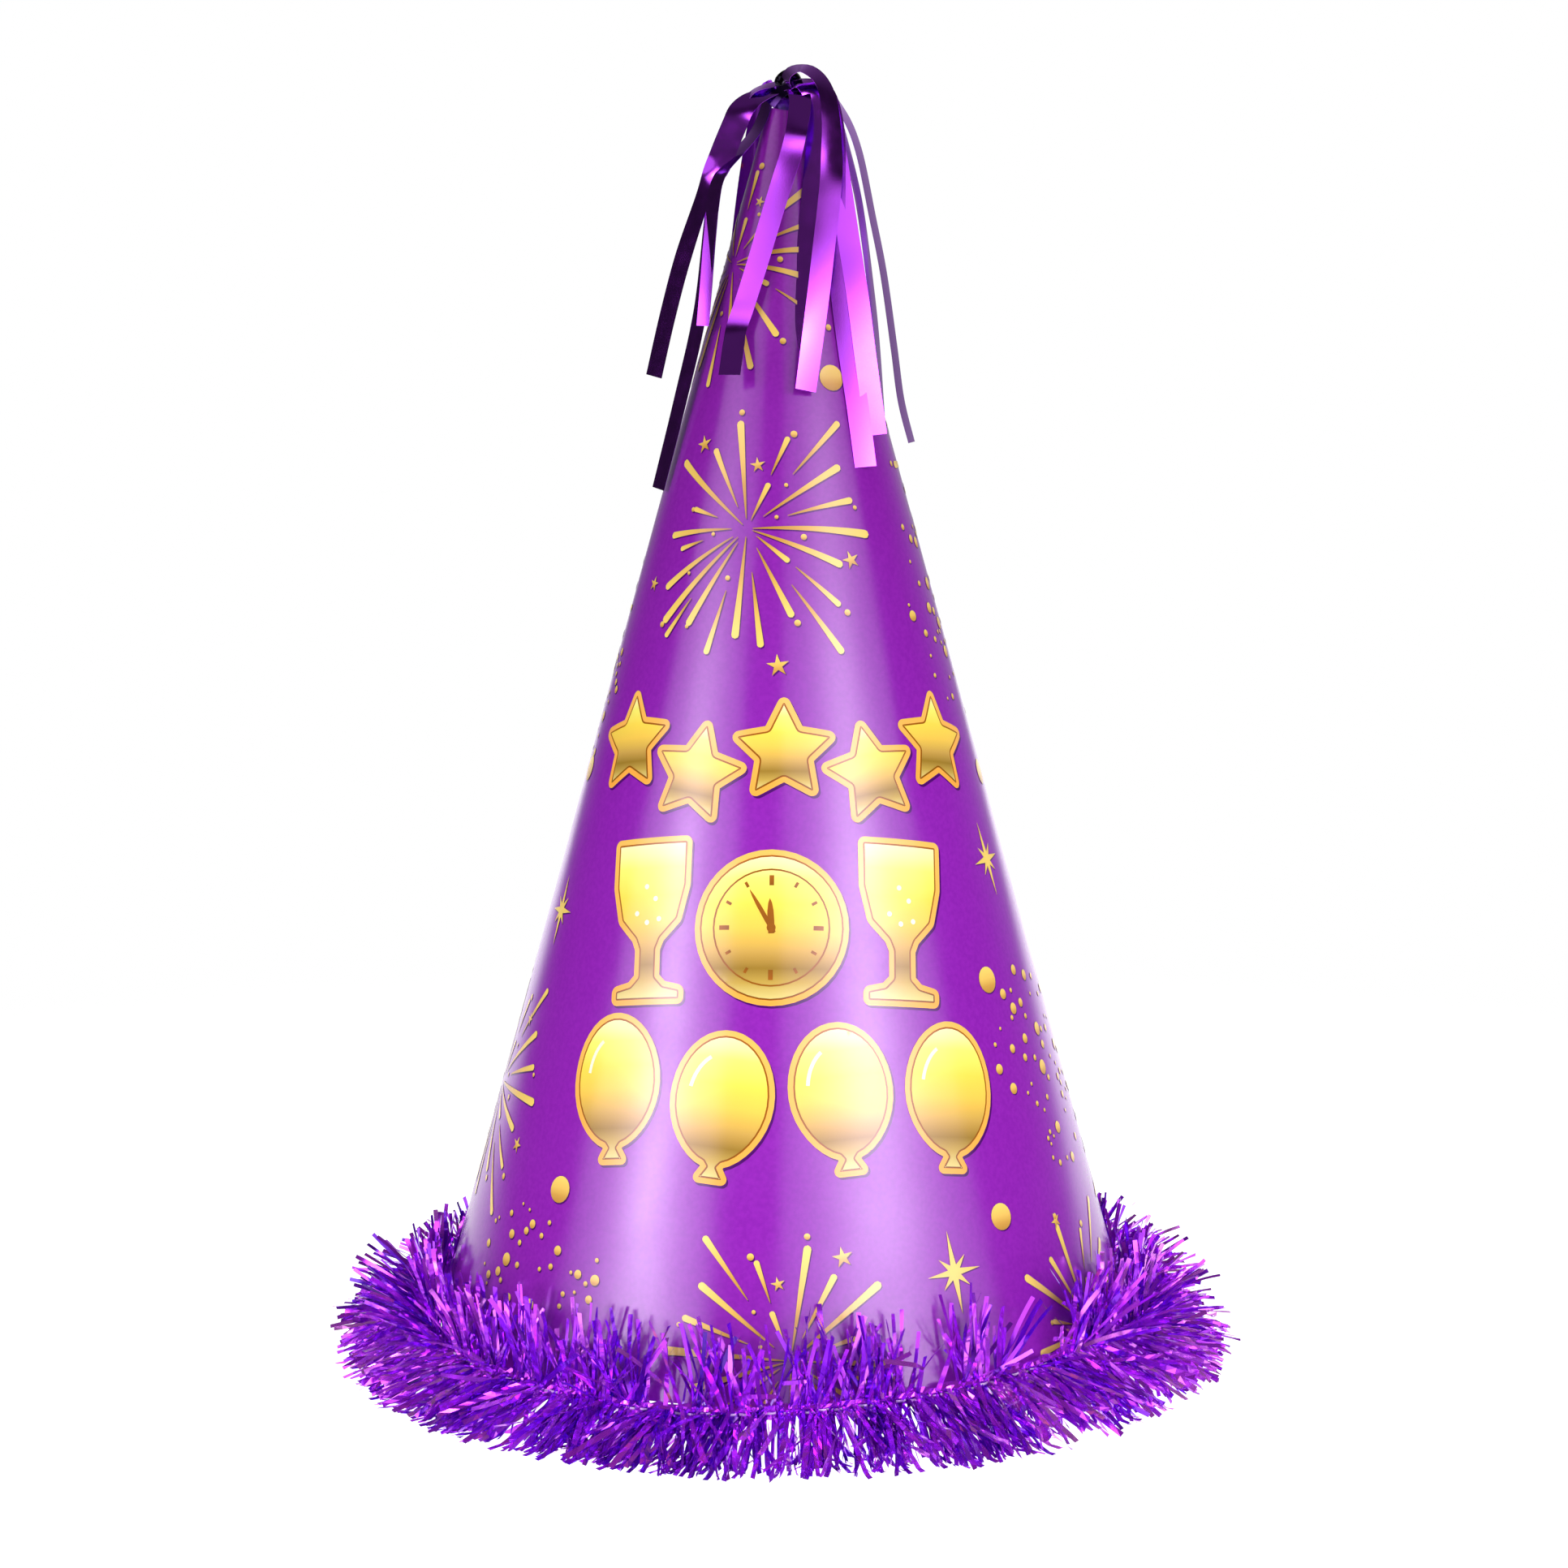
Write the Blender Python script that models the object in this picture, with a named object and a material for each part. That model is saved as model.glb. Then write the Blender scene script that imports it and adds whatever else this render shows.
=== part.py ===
"""New Year party hat: a printed card cone with a tinsel garland round its rim
and a tuft of hinged film streamers tied into its tip.

Metres, +Z up. The origin is on the table, under the cone's axis. Azimuth 0 is
the front of the hat (-Y) and +90 degrees is its right side (+X).
"""

import math

import bmesh
import bpy
from mathutils import Vector

# ---------------------------------------------------------------- driving dimensions
GAP = 0.0003                        # clearance between touching pieces
CARD = 0.0005                       # thickness of the card sheet
CONE_HALF_ANGLE = math.radians(15.5)
RIM_RADIUS = 0.0895                 # outer radius of the card's lower edge
RIM_HEIGHT = 0.008                  # height of that edge above the table
TIP_RADIUS = 0.0043                 # outer radius of the open tip

LAP_WIDTH = 0.012                   # overlap of the rolled sheet, at the back
LAP_MAX_ANGLE = math.radians(40)    # the overlap's limit near the tip
ADHESIVE = 0.00025                  # thickness of the strip that closes the lap
CORD_HOLE_RADIUS = 0.0015           # punched holes for a chin elastic
CORD_HOLE_RISE = 0.013              # their height above the rim

BAND_THICKNESS = 0.0014             # sewn middle of the garland
BAND_LOW = 0.0066
BAND_HIGH = 0.0116
THREAD_RADIUS = 0.00025             # sewing thread along the band

FRINGE_REACH = 0.1125               # radius at the tips of the outer strands
FRINGE_SECTORS = 12
FRINGE_THICKNESS = 0.0009
UPRIGHT_TOP = 0.036                 # top of the strands that lean on the card
FLARED_TOP = 0.025                  # top of the strands that stand out
FOOT_RADIUS = 0.104                 # the lower strands lie on the table outside it

STEM_RADIUS = 0.0026                # gathered ends of the streamers
STEM_LOW = 0.286
STEM_HIGH = 0.3176
KNOT_RADIUS = 0.0028
KNOT_HALF_HEIGHT = 0.0031
TIE_RADIUS = 0.00035
TIE_HEIGHT = 0.296
PLUG_LOW = 0.303
PLUG_HIGH = 0.310

FILM = 0.0004                       # streamer thickness, thicker than real film
STREAMER_WIDTH = 0.0053
STREAMER_TAPER = 0.30               # width per radius near the root
ROOT_RADIUS = KNOT_RADIUS + GAP + FILM / 2
ROOT_HEIGHT = 0.3216
CARD_CLEARANCE = 0.0011             # least distance of a streamer from the card
PATH_STEPS = 4                      # straight pieces between two points of its path

APEX = RIM_HEIGHT + RIM_RADIUS / math.tan(CONE_HALF_ANGLE)
TIP_HEIGHT = APEX - TIP_RADIUS / math.tan(CONE_HALF_ANGLE)
BACK = math.pi                      # azimuth of the seam

# Streamers in order round the tip: name, azimuth where the end hangs (degrees),
# top of the arch (radius, height), shoulder (radius, height), and the free end
# (distance from the card, height).
STREAMERS = (
    ("streamer_back_left", -146, (0.0050, 0.3210), (0.0090, 0.3100), (0.0020, 0.2300)),
    ("streamer_left_edge", -99, (0.0046, 0.3200), (0.0078, 0.3118), (0.0020, 0.2240)),
    ("streamer_left_arch", -83, (0.0085, 0.3225), (0.0172, 0.3048), (0.0095, 0.2495)),
    ("streamer_left_inner", -66, (0.0070, 0.3212), (0.0140, 0.3020), (0.0020, 0.2480)),
    ("streamer_front_left", -42, (0.0050, 0.3202), (0.0090, 0.3080), (0.0022, 0.2495)),
    ("streamer_front_under", -13, (0.0048, 0.3202), (0.0090, 0.3060), (0.0012, 0.2450)),
    ("streamer_front_loop", 10, (0.0062, 0.3262), (0.0135, 0.3040), (0.0024, 0.2460)),
    ("streamer_front_right", 44, (0.0050, 0.3205), (0.0098, 0.3060), (0.0016, 0.2280)),
    ("streamer_right_inner", 60, (0.0065, 0.3215), (0.0130, 0.3040), (0.0016, 0.2363)),
    ("streamer_right_edge", 76, (0.0080, 0.3220), (0.0150, 0.3090), (0.0025, 0.2300)),
    ("streamer_right_arch", 92, (0.0085, 0.3225), (0.0180, 0.3030), (0.0060, 0.2335)),
    ("streamer_back_right", 134, (0.0050, 0.3210), (0.0090, 0.3100), (0.0020, 0.2350)),
    ("streamer_back", 174, (0.0050, 0.3210), (0.0092, 0.3095), (0.0032, 0.2420)),
)
FIRST_ROOT = math.radians(-155)     # azimuth of the first streamer's root


# ---------------------------------------------------------------- helpers
def clear_scene():
    for obj in list(bpy.data.objects):
        bpy.data.objects.remove(obj, do_unlink=True)


def material(name, colour, roughness, metallic):
    mat = bpy.data.materials.new(name)
    mat.use_nodes = True
    shader = mat.node_tree.nodes["Principled BSDF"]
    shader.inputs["Base Color"].default_value = (*colour, 1.0)
    shader.inputs["Roughness"].default_value = roughness
    shader.inputs["Metallic"].default_value = metallic
    mat.diffuse_color = (*colour, 1.0)
    return mat


def polar(radius, azimuth, height):
    return Vector((radius * math.sin(azimuth), -radius * math.cos(azimuth), height))


def card_radius(height, depth=0.0):
    """Radius of the card's outer face at a height, or of a face depth inside it."""
    return (APEX - height) * math.tan(CONE_HALF_ANGLE) - depth / math.cos(CONE_HALF_ANGLE)


def add_object(name, bm, mat, origin=Vector((0, 0, 0)), smooth_angle=40):
    """Turns a bmesh in world coordinates into an object whose origin is given."""
    bmesh.ops.translate(bm, verts=bm.verts, vec=-origin)
    bmesh.ops.recalc_face_normals(bm, faces=bm.faces)
    mesh = bpy.data.meshes.new(name)
    bm.to_mesh(mesh)
    bm.free()
    mesh.shade_smooth()
    mesh.set_sharp_from_angle(angle=math.radians(smooth_angle))
    mesh.materials.append(mat)
    obj = bpy.data.objects.new(name, mesh)
    obj.location = origin
    bpy.context.scene.collection.objects.link(obj)
    return obj


def loft(name, sections, mat, closed=False, origin=Vector((0, 0, 0))):
    """A solid through sections of equal point counts, capped unless it closes."""
    bm = bmesh.new()
    rings = [[bm.verts.new(point) for point in section] for section in sections]
    count = len(rings[0])
    steps = len(rings) if closed else len(rings) - 1
    for step in range(steps):
        ring, following = rings[step], rings[(step + 1) % len(rings)]
        for i in range(count):
            j = (i + 1) % count
            bm.faces.new((ring[i], ring[j], following[j], following[i]))
    if not closed:
        bm.faces.new(rings[0][::-1])
        bm.faces.new(rings[-1])
    return add_object(name, bm, mat, origin)


def turned(name, profile, start, end, steps, mat):
    """Sweeps a (radius, height) profile round the axis between two azimuths."""
    closed = math.isclose(end - start, 2 * math.pi)
    stations = steps if closed else steps + 1
    azimuths = [start + (end - start) * i / steps for i in range(stations)]
    sections = [[polar(r, a, z) for r, z in profile] for a in azimuths]
    return loft(name, sections, mat, closed)


def circle_profile(radius, height, wire_radius, sides=8):
    turns = [2 * math.pi * i / sides for i in range(sides)]
    return [(radius + wire_radius * math.cos(t), height + wire_radius * math.sin(t)) for t in turns]


def smoothstep(t):
    t = min(max(t, 0.0), 1.0)
    return t * t * (3 - 2 * t)


# ---------------------------------------------------------------- the rolled card
LAP_STEP = CARD + ADHESIVE + 2 * GAP    # how far the upper layer stands off the lower


def half_lap(radius):
    return min(LAP_WIDTH / 2 / radius, LAP_MAX_ANGLE / 2)


def make_cone(mat):
    """One sheet rolled into a cone; its upper layer rises over the lower at the back."""
    stations = 96
    ramp_share = 0.05
    heights = [RIM_HEIGHT + (TIP_HEIGHT - RIM_HEIGHT) * i / 8 for i in range(9)]
    bm = bmesh.new()
    faces_out, faces_in = [], []
    for station in range(stations + 1):
        t = station / stations
        lift = LAP_STEP * smoothstep((t - (1 - 2 * ramp_share)) / ramp_share)
        outer, inner = [], []
        for z in heights:
            radius = card_radius(z)
            lap = half_lap(radius)
            start, end = -BACK - lap, BACK + lap
            # the ramp ends just before the lower layer's edge, at every height
            plain = 1 - ramp_share
            last = BACK - lap - 0.06
            azimuth = start + (last - start) * t / plain if t <= plain else (
                last + (end - last) * (t - plain) / ramp_share)
            outer.append(bm.verts.new(polar(card_radius(z) + lift, azimuth, z)))
            inner.append(bm.verts.new(polar(card_radius(z, CARD) + lift, azimuth, z)))
        faces_out.append(outer)
        faces_in.append(inner)
    rows = len(heights)
    for s in range(stations):
        for k in range(rows - 1):
            a, b = faces_out[s], faces_out[s + 1]
            bm.faces.new((a[k], b[k], b[k + 1], a[k + 1]))
            a, b = faces_in[s], faces_in[s + 1]
            bm.faces.new((a[k + 1], b[k + 1], b[k], a[k]))
        for k in (0, rows - 1):
            bm.faces.new((faces_out[s][k], faces_in[s][k], faces_in[s + 1][k], faces_out[s + 1][k]))
    for s in (0, stations):
        for k in range(rows - 1):
            bm.faces.new((faces_out[s][k], faces_out[s][k + 1], faces_in[s][k + 1], faces_in[s][k]))
    cone = add_object("cone_shell", bm, mat)
    for side in (-1, 1):
        punch_cord_hole(cone, side)
    return cone


def punch_cord_hole(cone, side):
    height = RIM_HEIGHT + CORD_HOLE_RISE
    bm = bmesh.new()
    bmesh.ops.create_cone(bm, cap_ends=True, segments=14, radius1=CORD_HOLE_RADIUS,
                          radius2=CORD_HOLE_RADIUS, depth=0.008)
    mesh = bpy.data.meshes.new("cord_hole_cutter")
    bm.to_mesh(mesh)
    bm.free()
    cutter = bpy.data.objects.new("cord_hole_cutter", mesh)
    cutter.location = (side * card_radius(height), 0, height)
    cutter.rotation_euler = (0, math.pi / 2, 0)
    cutter.hide_render = True
    cutter.display_type = "WIRE"
    bpy.context.scene.collection.objects.link(cutter)
    cut = cone.modifiers.new("cord_hole", "BOOLEAN")
    cut.operation = "DIFFERENCE"
    cut.object = cutter


def make_seam_adhesive(mat):
    """The strip between the two layers of the lap."""
    sections = []
    margin = 0.0006
    steps = 12
    low, high = RIM_HEIGHT + 0.002, TIP_HEIGHT - 0.020
    for i in range(steps + 1):
        z = low + (high - low) * i / steps
        radius = card_radius(z) + GAP
        angle = half_lap(radius) - margin / radius
        turns = [BACK + angle * k / 2 for k in (-2, -1, 0, 1, 2)]
        inner = [polar(radius, a, z) for a in turns]
        outer = [polar(radius + ADHESIVE, a, z) for a in reversed(turns)]
        sections.append(inner + outer)
    return loft("seam_adhesive", sections, mat)


# ---------------------------------------------------------------- the garland
def make_garland(band_mat, thread_mat, fringe_mat):
    inner = card_radius(BAND_LOW) + LAP_STEP + GAP
    outer = inner + BAND_THICKNESS
    profile = [(inner, BAND_LOW), (outer, BAND_LOW), (outer, BAND_HIGH), (inner, BAND_HIGH)]
    turned("garland_band", profile, 0, 2 * math.pi, 96, band_mat)
    thread_radius = outer + GAP + THREAD_RADIUS
    middle = (BAND_LOW + BAND_HIGH) / 2
    profile = circle_profile(thread_radius, middle, THREAD_RADIUS, 6)
    turned("garland_thread", profile, 0, 2 * math.pi, 96, thread_mat)

    root = outer + 2 * THREAD_RADIUS + 2 * GAP
    base = BAND_HIGH + GAP
    lean = card_radius(UPRIGHT_TOP) + LAP_STEP + GAP
    upright = [
        (inner, base), (inner + FRINGE_THICKNESS, base),
        (lean + 2 * FRINGE_THICKNESS, UPRIGHT_TOP), (lean + FRINGE_THICKNESS, UPRIGHT_TOP),
    ]
    flare = inner + FRINGE_THICKNESS + GAP
    flared = [
        (flare, base), (outer + FRINGE_THICKNESS, base), (0.1030, 0.0165),
        (FRINGE_REACH - 0.0015, FLARED_TOP - 0.001), (FRINGE_REACH - 0.0022, FLARED_TOP),
        (0.1022, 0.0177), (outer, base + FRINGE_THICKNESS), (flare, base + FRINGE_THICKNESS),
    ]
    middle_low = middle - FRINGE_THICKNESS / 2
    lower = [
        (root, middle_low), (FOOT_RADIUS, 0), (FRINGE_REACH, 0), (FRINGE_REACH, FRINGE_THICKNESS),
        (FOOT_RADIUS + 0.0012, 0.0018), (root, middle_low + FRINGE_THICKNESS),
    ]
    slot = GAP / FOOT_RADIUS
    width = 2 * math.pi / FRINGE_SECTORS
    for sector in range(FRINGE_SECTORS):
        start = sector * width - width / 2 + slot / 2
        end = start + width - slot
        for row, section in (("upright", upright), ("flared", flared), ("lower", lower)):
            turned(f"fringe_{row}_{sector + 1}", section, start, end, 8, fringe_mat)


# ---------------------------------------------------------------- the tuft
def make_tuft_base(film_mat, thread_mat, glue_mat):
    stem = [(0.7 * STEM_RADIUS, STEM_LOW), (STEM_RADIUS, STEM_LOW + 0.004),
            (STEM_RADIUS, STEM_HIGH - 0.001), (0.8 * STEM_RADIUS, STEM_HIGH)]
    rings = [[polar(r, 2 * math.pi * i / 20, z) for i in range(20)] for r, z in stem]
    loft("tuft_stem", rings, film_mat)

    bm = bmesh.new()
    bmesh.ops.create_icosphere(bm, subdivisions=3, radius=1.0)
    knot_centre = STEM_HIGH + GAP + KNOT_HALF_HEIGHT
    for vert in bm.verts:
        vert.co.x *= KNOT_RADIUS
        vert.co.y *= KNOT_RADIUS
        vert.co.z = vert.co.z * KNOT_HALF_HEIGHT + knot_centre
    add_object("tuft_knot", bm, film_mat)

    tie_at = STEM_RADIUS + GAP + TIE_RADIUS
    profile = circle_profile(tie_at, TIE_HEIGHT, TIE_RADIUS)
    turned("tuft_tie", profile, 0, 2 * math.pi, 28, thread_mat)

    bore = STEM_RADIUS + GAP
    profile = [(bore, PLUG_LOW), (card_radius(PLUG_LOW, CARD) - GAP, PLUG_LOW),
               (card_radius(PLUG_HIGH, CARD) - GAP, PLUG_HIGH), (bore, PLUG_HIGH)]
    turned("tip_glue_plug", profile, 0, 2 * math.pi, 28, glue_mat)


def catmull_rom(points, steps):
    """A smooth path of (radius, height) pairs through the given ones."""
    padded = [points[0], *points, points[-1]]
    path = []
    for i in range(len(points) - 1):
        p0, p1, p2, p3 = (Vector(p) for p in padded[i:i + 4])
        for k in range(steps):
            t = k / steps
            path.append(0.5 * (2 * p1 + (p2 - p0) * t + (2 * p0 - 5 * p1 + 4 * p2 - p3) * t * t
                               + (3 * p1 - p0 - 3 * p2 + p3) * t ** 3))
    path.append(Vector(points[-1]))
    return path


def make_streamer(index, mat):
    """A film strip that leaves the knot, bends over the tip and hangs by the card."""
    name, end_degrees, arch, shoulder, (stand_off, end_height) = STREAMERS[index]
    root_azimuth = FIRST_ROOT + index * 2 * math.pi / len(STREAMERS)
    end_azimuth = math.radians(end_degrees)
    end = (card_radius(end_height) + stand_off, end_height)
    middle_height = (shoulder[1] + end_height) / 2
    shoulder_stand_off = shoulder[0] - card_radius(shoulder[1])
    middle = (card_radius(middle_height) + (shoulder_stand_off + stand_off) / 2, middle_height)
    path = catmull_rom([(ROOT_RADIUS, ROOT_HEIGHT), arch, shoulder, middle, end], PATH_STEPS)
    sections = []
    for k, point in enumerate(path):
        radius, height = point
        if k > PATH_STEPS:
            radius = max(radius, card_radius(height) + CARD_CLEARANCE)
        turn = smoothstep(k / (3 * PATH_STEPS))
        azimuth = root_azimuth + (end_azimuth - root_azimuth) * turn
        before, after = path[max(k - 1, 0)], path[min(k + 1, len(path) - 1)]
        along = (after - before).normalized()
        outward = Vector((-along.y, along.x)) * (FILM / 2)
        half_width = min(STREAMER_WIDTH, STREAMER_TAPER * radius) / 2
        side = Vector((math.cos(azimuth), math.sin(azimuth), 0)) * half_width
        face = polar(outward.x, azimuth, outward.y)
        centre = polar(radius, azimuth, height)
        sections.append([centre - side - face, centre + side - face,
                         centre + side + face, centre - side + face])
    return loft(name, sections, mat, origin=polar(ROOT_RADIUS, root_azimuth, ROOT_HEIGHT))


def main():
    clear_scene()
    card = material("printed_card", (0.30, 0.02, 0.50), 0.22, 0.0)
    adhesive = material("adhesive", (0.85, 0.83, 0.76), 0.5, 0.0)
    glue = material("hot_melt_glue", (0.80, 0.78, 0.70), 0.4, 0.0)
    film = material("purple_film", (0.30, 0.03, 0.62), 0.15, 0.9)
    tinsel = material("tinsel", (0.24, 0.02, 0.60), 0.18, 0.9)
    thread = material("thread", (0.75, 0.55, 0.90), 0.6, 0.0)
    make_cone(card)
    make_seam_adhesive(adhesive)
    make_garland(tinsel, thread, tinsel)
    make_tuft_base(film, thread, glue)
    for index in range(len(STREAMERS)):
        make_streamer(index, film)


main()
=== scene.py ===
"""The looks of the New Year party hat: printed card, tinsel garland and film streamers.

Metres, +Z up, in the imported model's frame. Azimuth 0 is the front of the hat (-Y) and
+90 degrees its right side (+X). The card is a cone, so a point of it is an azimuth and
a slant, the distance from the cone's sharp apex measured along the card.
"""

import math
import random
from math import cos, hypot, pi, radians, sin
from typing import NamedTuple

import bpy
import numpy as np
from mathutils import Matrix, Vector, geometry, noise


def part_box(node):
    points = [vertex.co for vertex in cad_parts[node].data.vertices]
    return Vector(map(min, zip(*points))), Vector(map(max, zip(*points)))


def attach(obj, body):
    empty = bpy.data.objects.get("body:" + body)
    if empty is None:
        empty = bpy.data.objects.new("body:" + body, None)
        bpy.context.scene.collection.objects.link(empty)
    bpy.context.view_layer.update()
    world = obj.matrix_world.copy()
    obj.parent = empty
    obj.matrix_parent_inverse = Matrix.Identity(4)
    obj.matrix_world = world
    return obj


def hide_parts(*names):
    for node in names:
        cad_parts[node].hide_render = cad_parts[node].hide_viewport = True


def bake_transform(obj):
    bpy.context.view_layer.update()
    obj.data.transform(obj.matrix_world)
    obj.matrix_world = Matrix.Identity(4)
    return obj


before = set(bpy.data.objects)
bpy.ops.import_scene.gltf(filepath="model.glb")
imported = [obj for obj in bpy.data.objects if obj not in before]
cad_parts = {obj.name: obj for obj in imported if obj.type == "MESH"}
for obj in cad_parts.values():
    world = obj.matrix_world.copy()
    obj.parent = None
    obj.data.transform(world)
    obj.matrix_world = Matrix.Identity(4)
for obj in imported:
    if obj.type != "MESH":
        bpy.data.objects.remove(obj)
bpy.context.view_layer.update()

# ------------------------------ sizes from the frame
MM = 0.001
TURN = 2 * pi
HAT = "hat"
HALF_ANGLE = radians(15.5)
CARD_LOW, CARD_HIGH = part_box("cone_shell")
RIM_HEIGHT = CARD_LOW.z
TIP_HEIGHT = CARD_HIGH.z
RIM_RADIUS = CARD_HIGH.x
APEX = RIM_HEIGHT + RIM_RADIUS / math.tan(HALF_ANGLE)
RIM_SLANT = RIM_RADIUS / sin(HALF_ANGLE)
TIP_SLANT = (APEX - TIP_HEIGHT) / cos(HALF_ANGLE)
BAND_LOW, BAND_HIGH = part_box("garland_band")
CORE_RADIUS = (BAND_HIGH.x - BAND_LOW.x) / 2
KNOT_LOW, KNOT_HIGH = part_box("tuft_knot")
CARD = 0.45 * MM                    # card thickness
HOLE_RADIUS = 1.5 * MM              # punched holes for a chin elastic
HOLE_HEIGHT = RIM_HEIGHT + 13 * MM


def polar(radius, azimuth, height):
    return Vector((radius * sin(azimuth), -radius * cos(azimuth), height))


def mix(ends, share):
    """A value part of the way between two ends."""
    return ends[0] + (ends[1] - ends[0]) * share


def smooth(t):
    t = min(max(t, 0.0), 1.0)
    return t * t * (3 - 2 * t)


def turns(count):
    """Angles evenly spaced round a circle."""
    return [TURN * i / count for i in range(count)]


# ------------------------------ mesh helpers
def grid(rows, columns, base=0, ring=False, tube=False, flip=False):
    """Quads between rows of points. A ring's last row meets its first, a tube's last column too."""
    per = columns if tube else columns + 1
    faces = []
    for row in range(rows):
        low = base + row * per
        high = base + (row + 1) % rows * per if ring else low + per
        for here in range(columns):
            after = (here + 1) % columns if tube else here + 1
            a, b, c, d = low + here, low + after, high + after, high + here
            faces.append((a, d, c, b) if flip else (a, b, c, d))
    return faces


def make_mesh(name, verts, faces, materials, indices=None, smooth_shade=True):
    mesh = bpy.data.meshes.new(name)
    mesh.from_pydata([tuple(v) for v in verts], [], faces)
    for mat in materials:
        mesh.materials.append(mat)
    if indices is not None:
        mesh.polygons.foreach_set("material_index", indices)
    if smooth_shade:
        mesh.shade_smooth()
    return add_object(name, mesh)


def add_object(name, data):
    obj = bpy.data.objects.new(name, data)
    bpy.context.scene.collection.objects.link(obj)
    return obj


def point_attribute(obj, name, values):
    attribute = obj.data.attributes.new(name, "FLOAT", "POINT")
    values = np.broadcast_to(np.asarray(values, np.float32), len(obj.data.vertices))
    attribute.data.foreach_set("value", values.copy())


def thicken(obj, thickness, **settings):
    film = obj.modifiers.new("film", "SOLIDIFY")
    film.thickness = thickness
    for key, value in settings.items():
        setattr(film, key, value)


def settle(obj, slot, *nodes):
    """The piece rides on the hat and stands for CAD nodes; its slot is not used."""
    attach(obj, HAT)
    if nodes:
        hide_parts(*nodes)


# ------------------------------ materials
def srgb(red, green, blue):
    """A colour given as 0 to 255 display values, as linear light."""
    def linear(value):
        value /= 255
        return value / 12.92 if value <= 0.04045 else ((value + 0.055) / 1.055) ** 2.4
    return (linear(red), linear(green), linear(blue), 1.0)


def grey(value):
    return (value, value, value, 1.0)


class Nodes:
    """Short calls that add nodes to a tree."""

    def __init__(self, tree):
        self.tree = tree

    def feed(self, node, inputs):
        """Sets a node's sockets to values, or links them to other nodes' outputs."""
        for key, value in inputs.items():
            if isinstance(value, bpy.types.NodeSocket):
                self.tree.links.new(value, node.inputs[key])
            elif value is not None:
                node.inputs[key].default_value = value
        return node

    def node(self, kind, inputs=(), **settings):
        made = self.tree.nodes.new(f"ShaderNode{kind}")
        for key, value in settings.items():
            setattr(made, key, value)
        return self.feed(made, dict(inputs))

    def place(self, output="Object"):
        return self.node("TexCoord").outputs[output]

    def map_range(self, source, start, end, low=0.0, high=1.0, **settings):
        return self.node("MapRange", {"Value": source, "From Min": start, "From Max": end,
                                      "To Min": low, "To Max": high}, **settings).outputs["Result"]


class Shader(Nodes):
    """A Principled material; its surface's sockets are named with _ for a space."""

    def __init__(self, name, **values):
        self.material = bpy.data.materials.new(name)
        self.material.use_nodes = True
        super().__init__(self.material.node_tree)
        self.set(**values)

    def set(self, **values):
        surface = self.tree.nodes["Principled BSDF"]
        self.feed(surface, {key.replace("_", " "): value for key, value in values.items()})

    def ramp(self, source, *stops):
        made = self.node("ValToRGB", {"Fac": source})
        elements = made.color_ramp.elements
        while len(elements) < len(stops):
            elements.new(0.5)
        for element, (position, colour) in zip(elements, stops):
            element.position = position
            element.color = colour
        return made.outputs["Color"]

    def noise(self, scale, detail):
        inputs = {"Vector": self.place(), "Scale": scale, "Detail": detail}
        return self.node("TexNoise", inputs).outputs["Fac"]

    def mottle(self, scale, detail, low, high):
        """Runs from one colour to another in patches."""
        return self.ramp(self.noise(scale, detail), (0.3, low), (0.7, high))

    def bump(self, scale, detail, strength, distance):
        relief = {"Height": self.noise(scale, detail), "Strength": strength, "Distance": distance}
        self.set(Normal=self.node("Bump", relief).outputs["Normal"])

    def attribute(self, name):
        return self.node("Attribute", attribute_name=name).outputs["Fac"]


INK = dict(Roughness=0.17, IOR=1.5, Specular_IOR_Level=0.62,
           Specular_Tint=(0.94, 0.78, 1.0, 1.0))
# Painted shade: the print's colour is multiplied by this, from the table up to the tip, darkest at
# the tip, which the streamers shade.
TIP_SHADE_RAMP = [
    (0.1, (1.02, 0.95, 1.0, 1.0)), (0.45, (0.98, 0.93, 0.97, 1.0)), (0.6, (0.89, 0.84, 0.86, 1.0)),
    (0.75, (0.79, 0.70, 0.74, 1.0)), (0.95, (0.62, 0.56, 0.54, 1.0))]


def paint_tip_shade(shader, colour):
    """Darkens the print towards the tip: painted shade where the streamers shade it."""
    height = shader.node("SeparateXYZ", {"Vector": shader.place()}).outputs["Z"]
    tip_shade = shader.ramp(shader.map_range(height, 0.0, TIP_HEIGHT), *TIP_SHADE_RAMP)
    mixed = shader.node("Mix", {"Factor": 1.0, "A": colour, "B": tip_shade},
                        data_type="RGBA", blend_type="MULTIPLY")
    shader.set(Base_Color=mixed.outputs["Result"])


def print_ground():
    """Purple ink on glossy card, with the faint mottle of a printed solid."""
    shader = Shader("print_ground", **INK)
    # the purple ground, with painted shade towards the tip
    paint_tip_shade(shader, shader.ramp(shader.noise(900, 3), (0.35, srgb(134, 30, 170)),
                                      (0.65, srgb(142, 35, 178))))
    shader.set(Roughness=shader.mottle(60, 3, grey(0.15), grey(0.21)))
    shader.bump(2600, 2, 0.10, 0.02 * MM)
    return shader.material


def print_shadow():
    """The darker purple of the motifs' drop shadows."""
    shader = Shader("print_shadow", **INK)
    shader.set(Base_Color=shader.mottle(700, 2, srgb(66, 6, 96), srgb(80, 8, 110)))
    return shader.material


LINE_TONES = [(0.0, srgb(140, 84, 16)), (1.0, srgb(166, 96, 22))]
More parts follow.
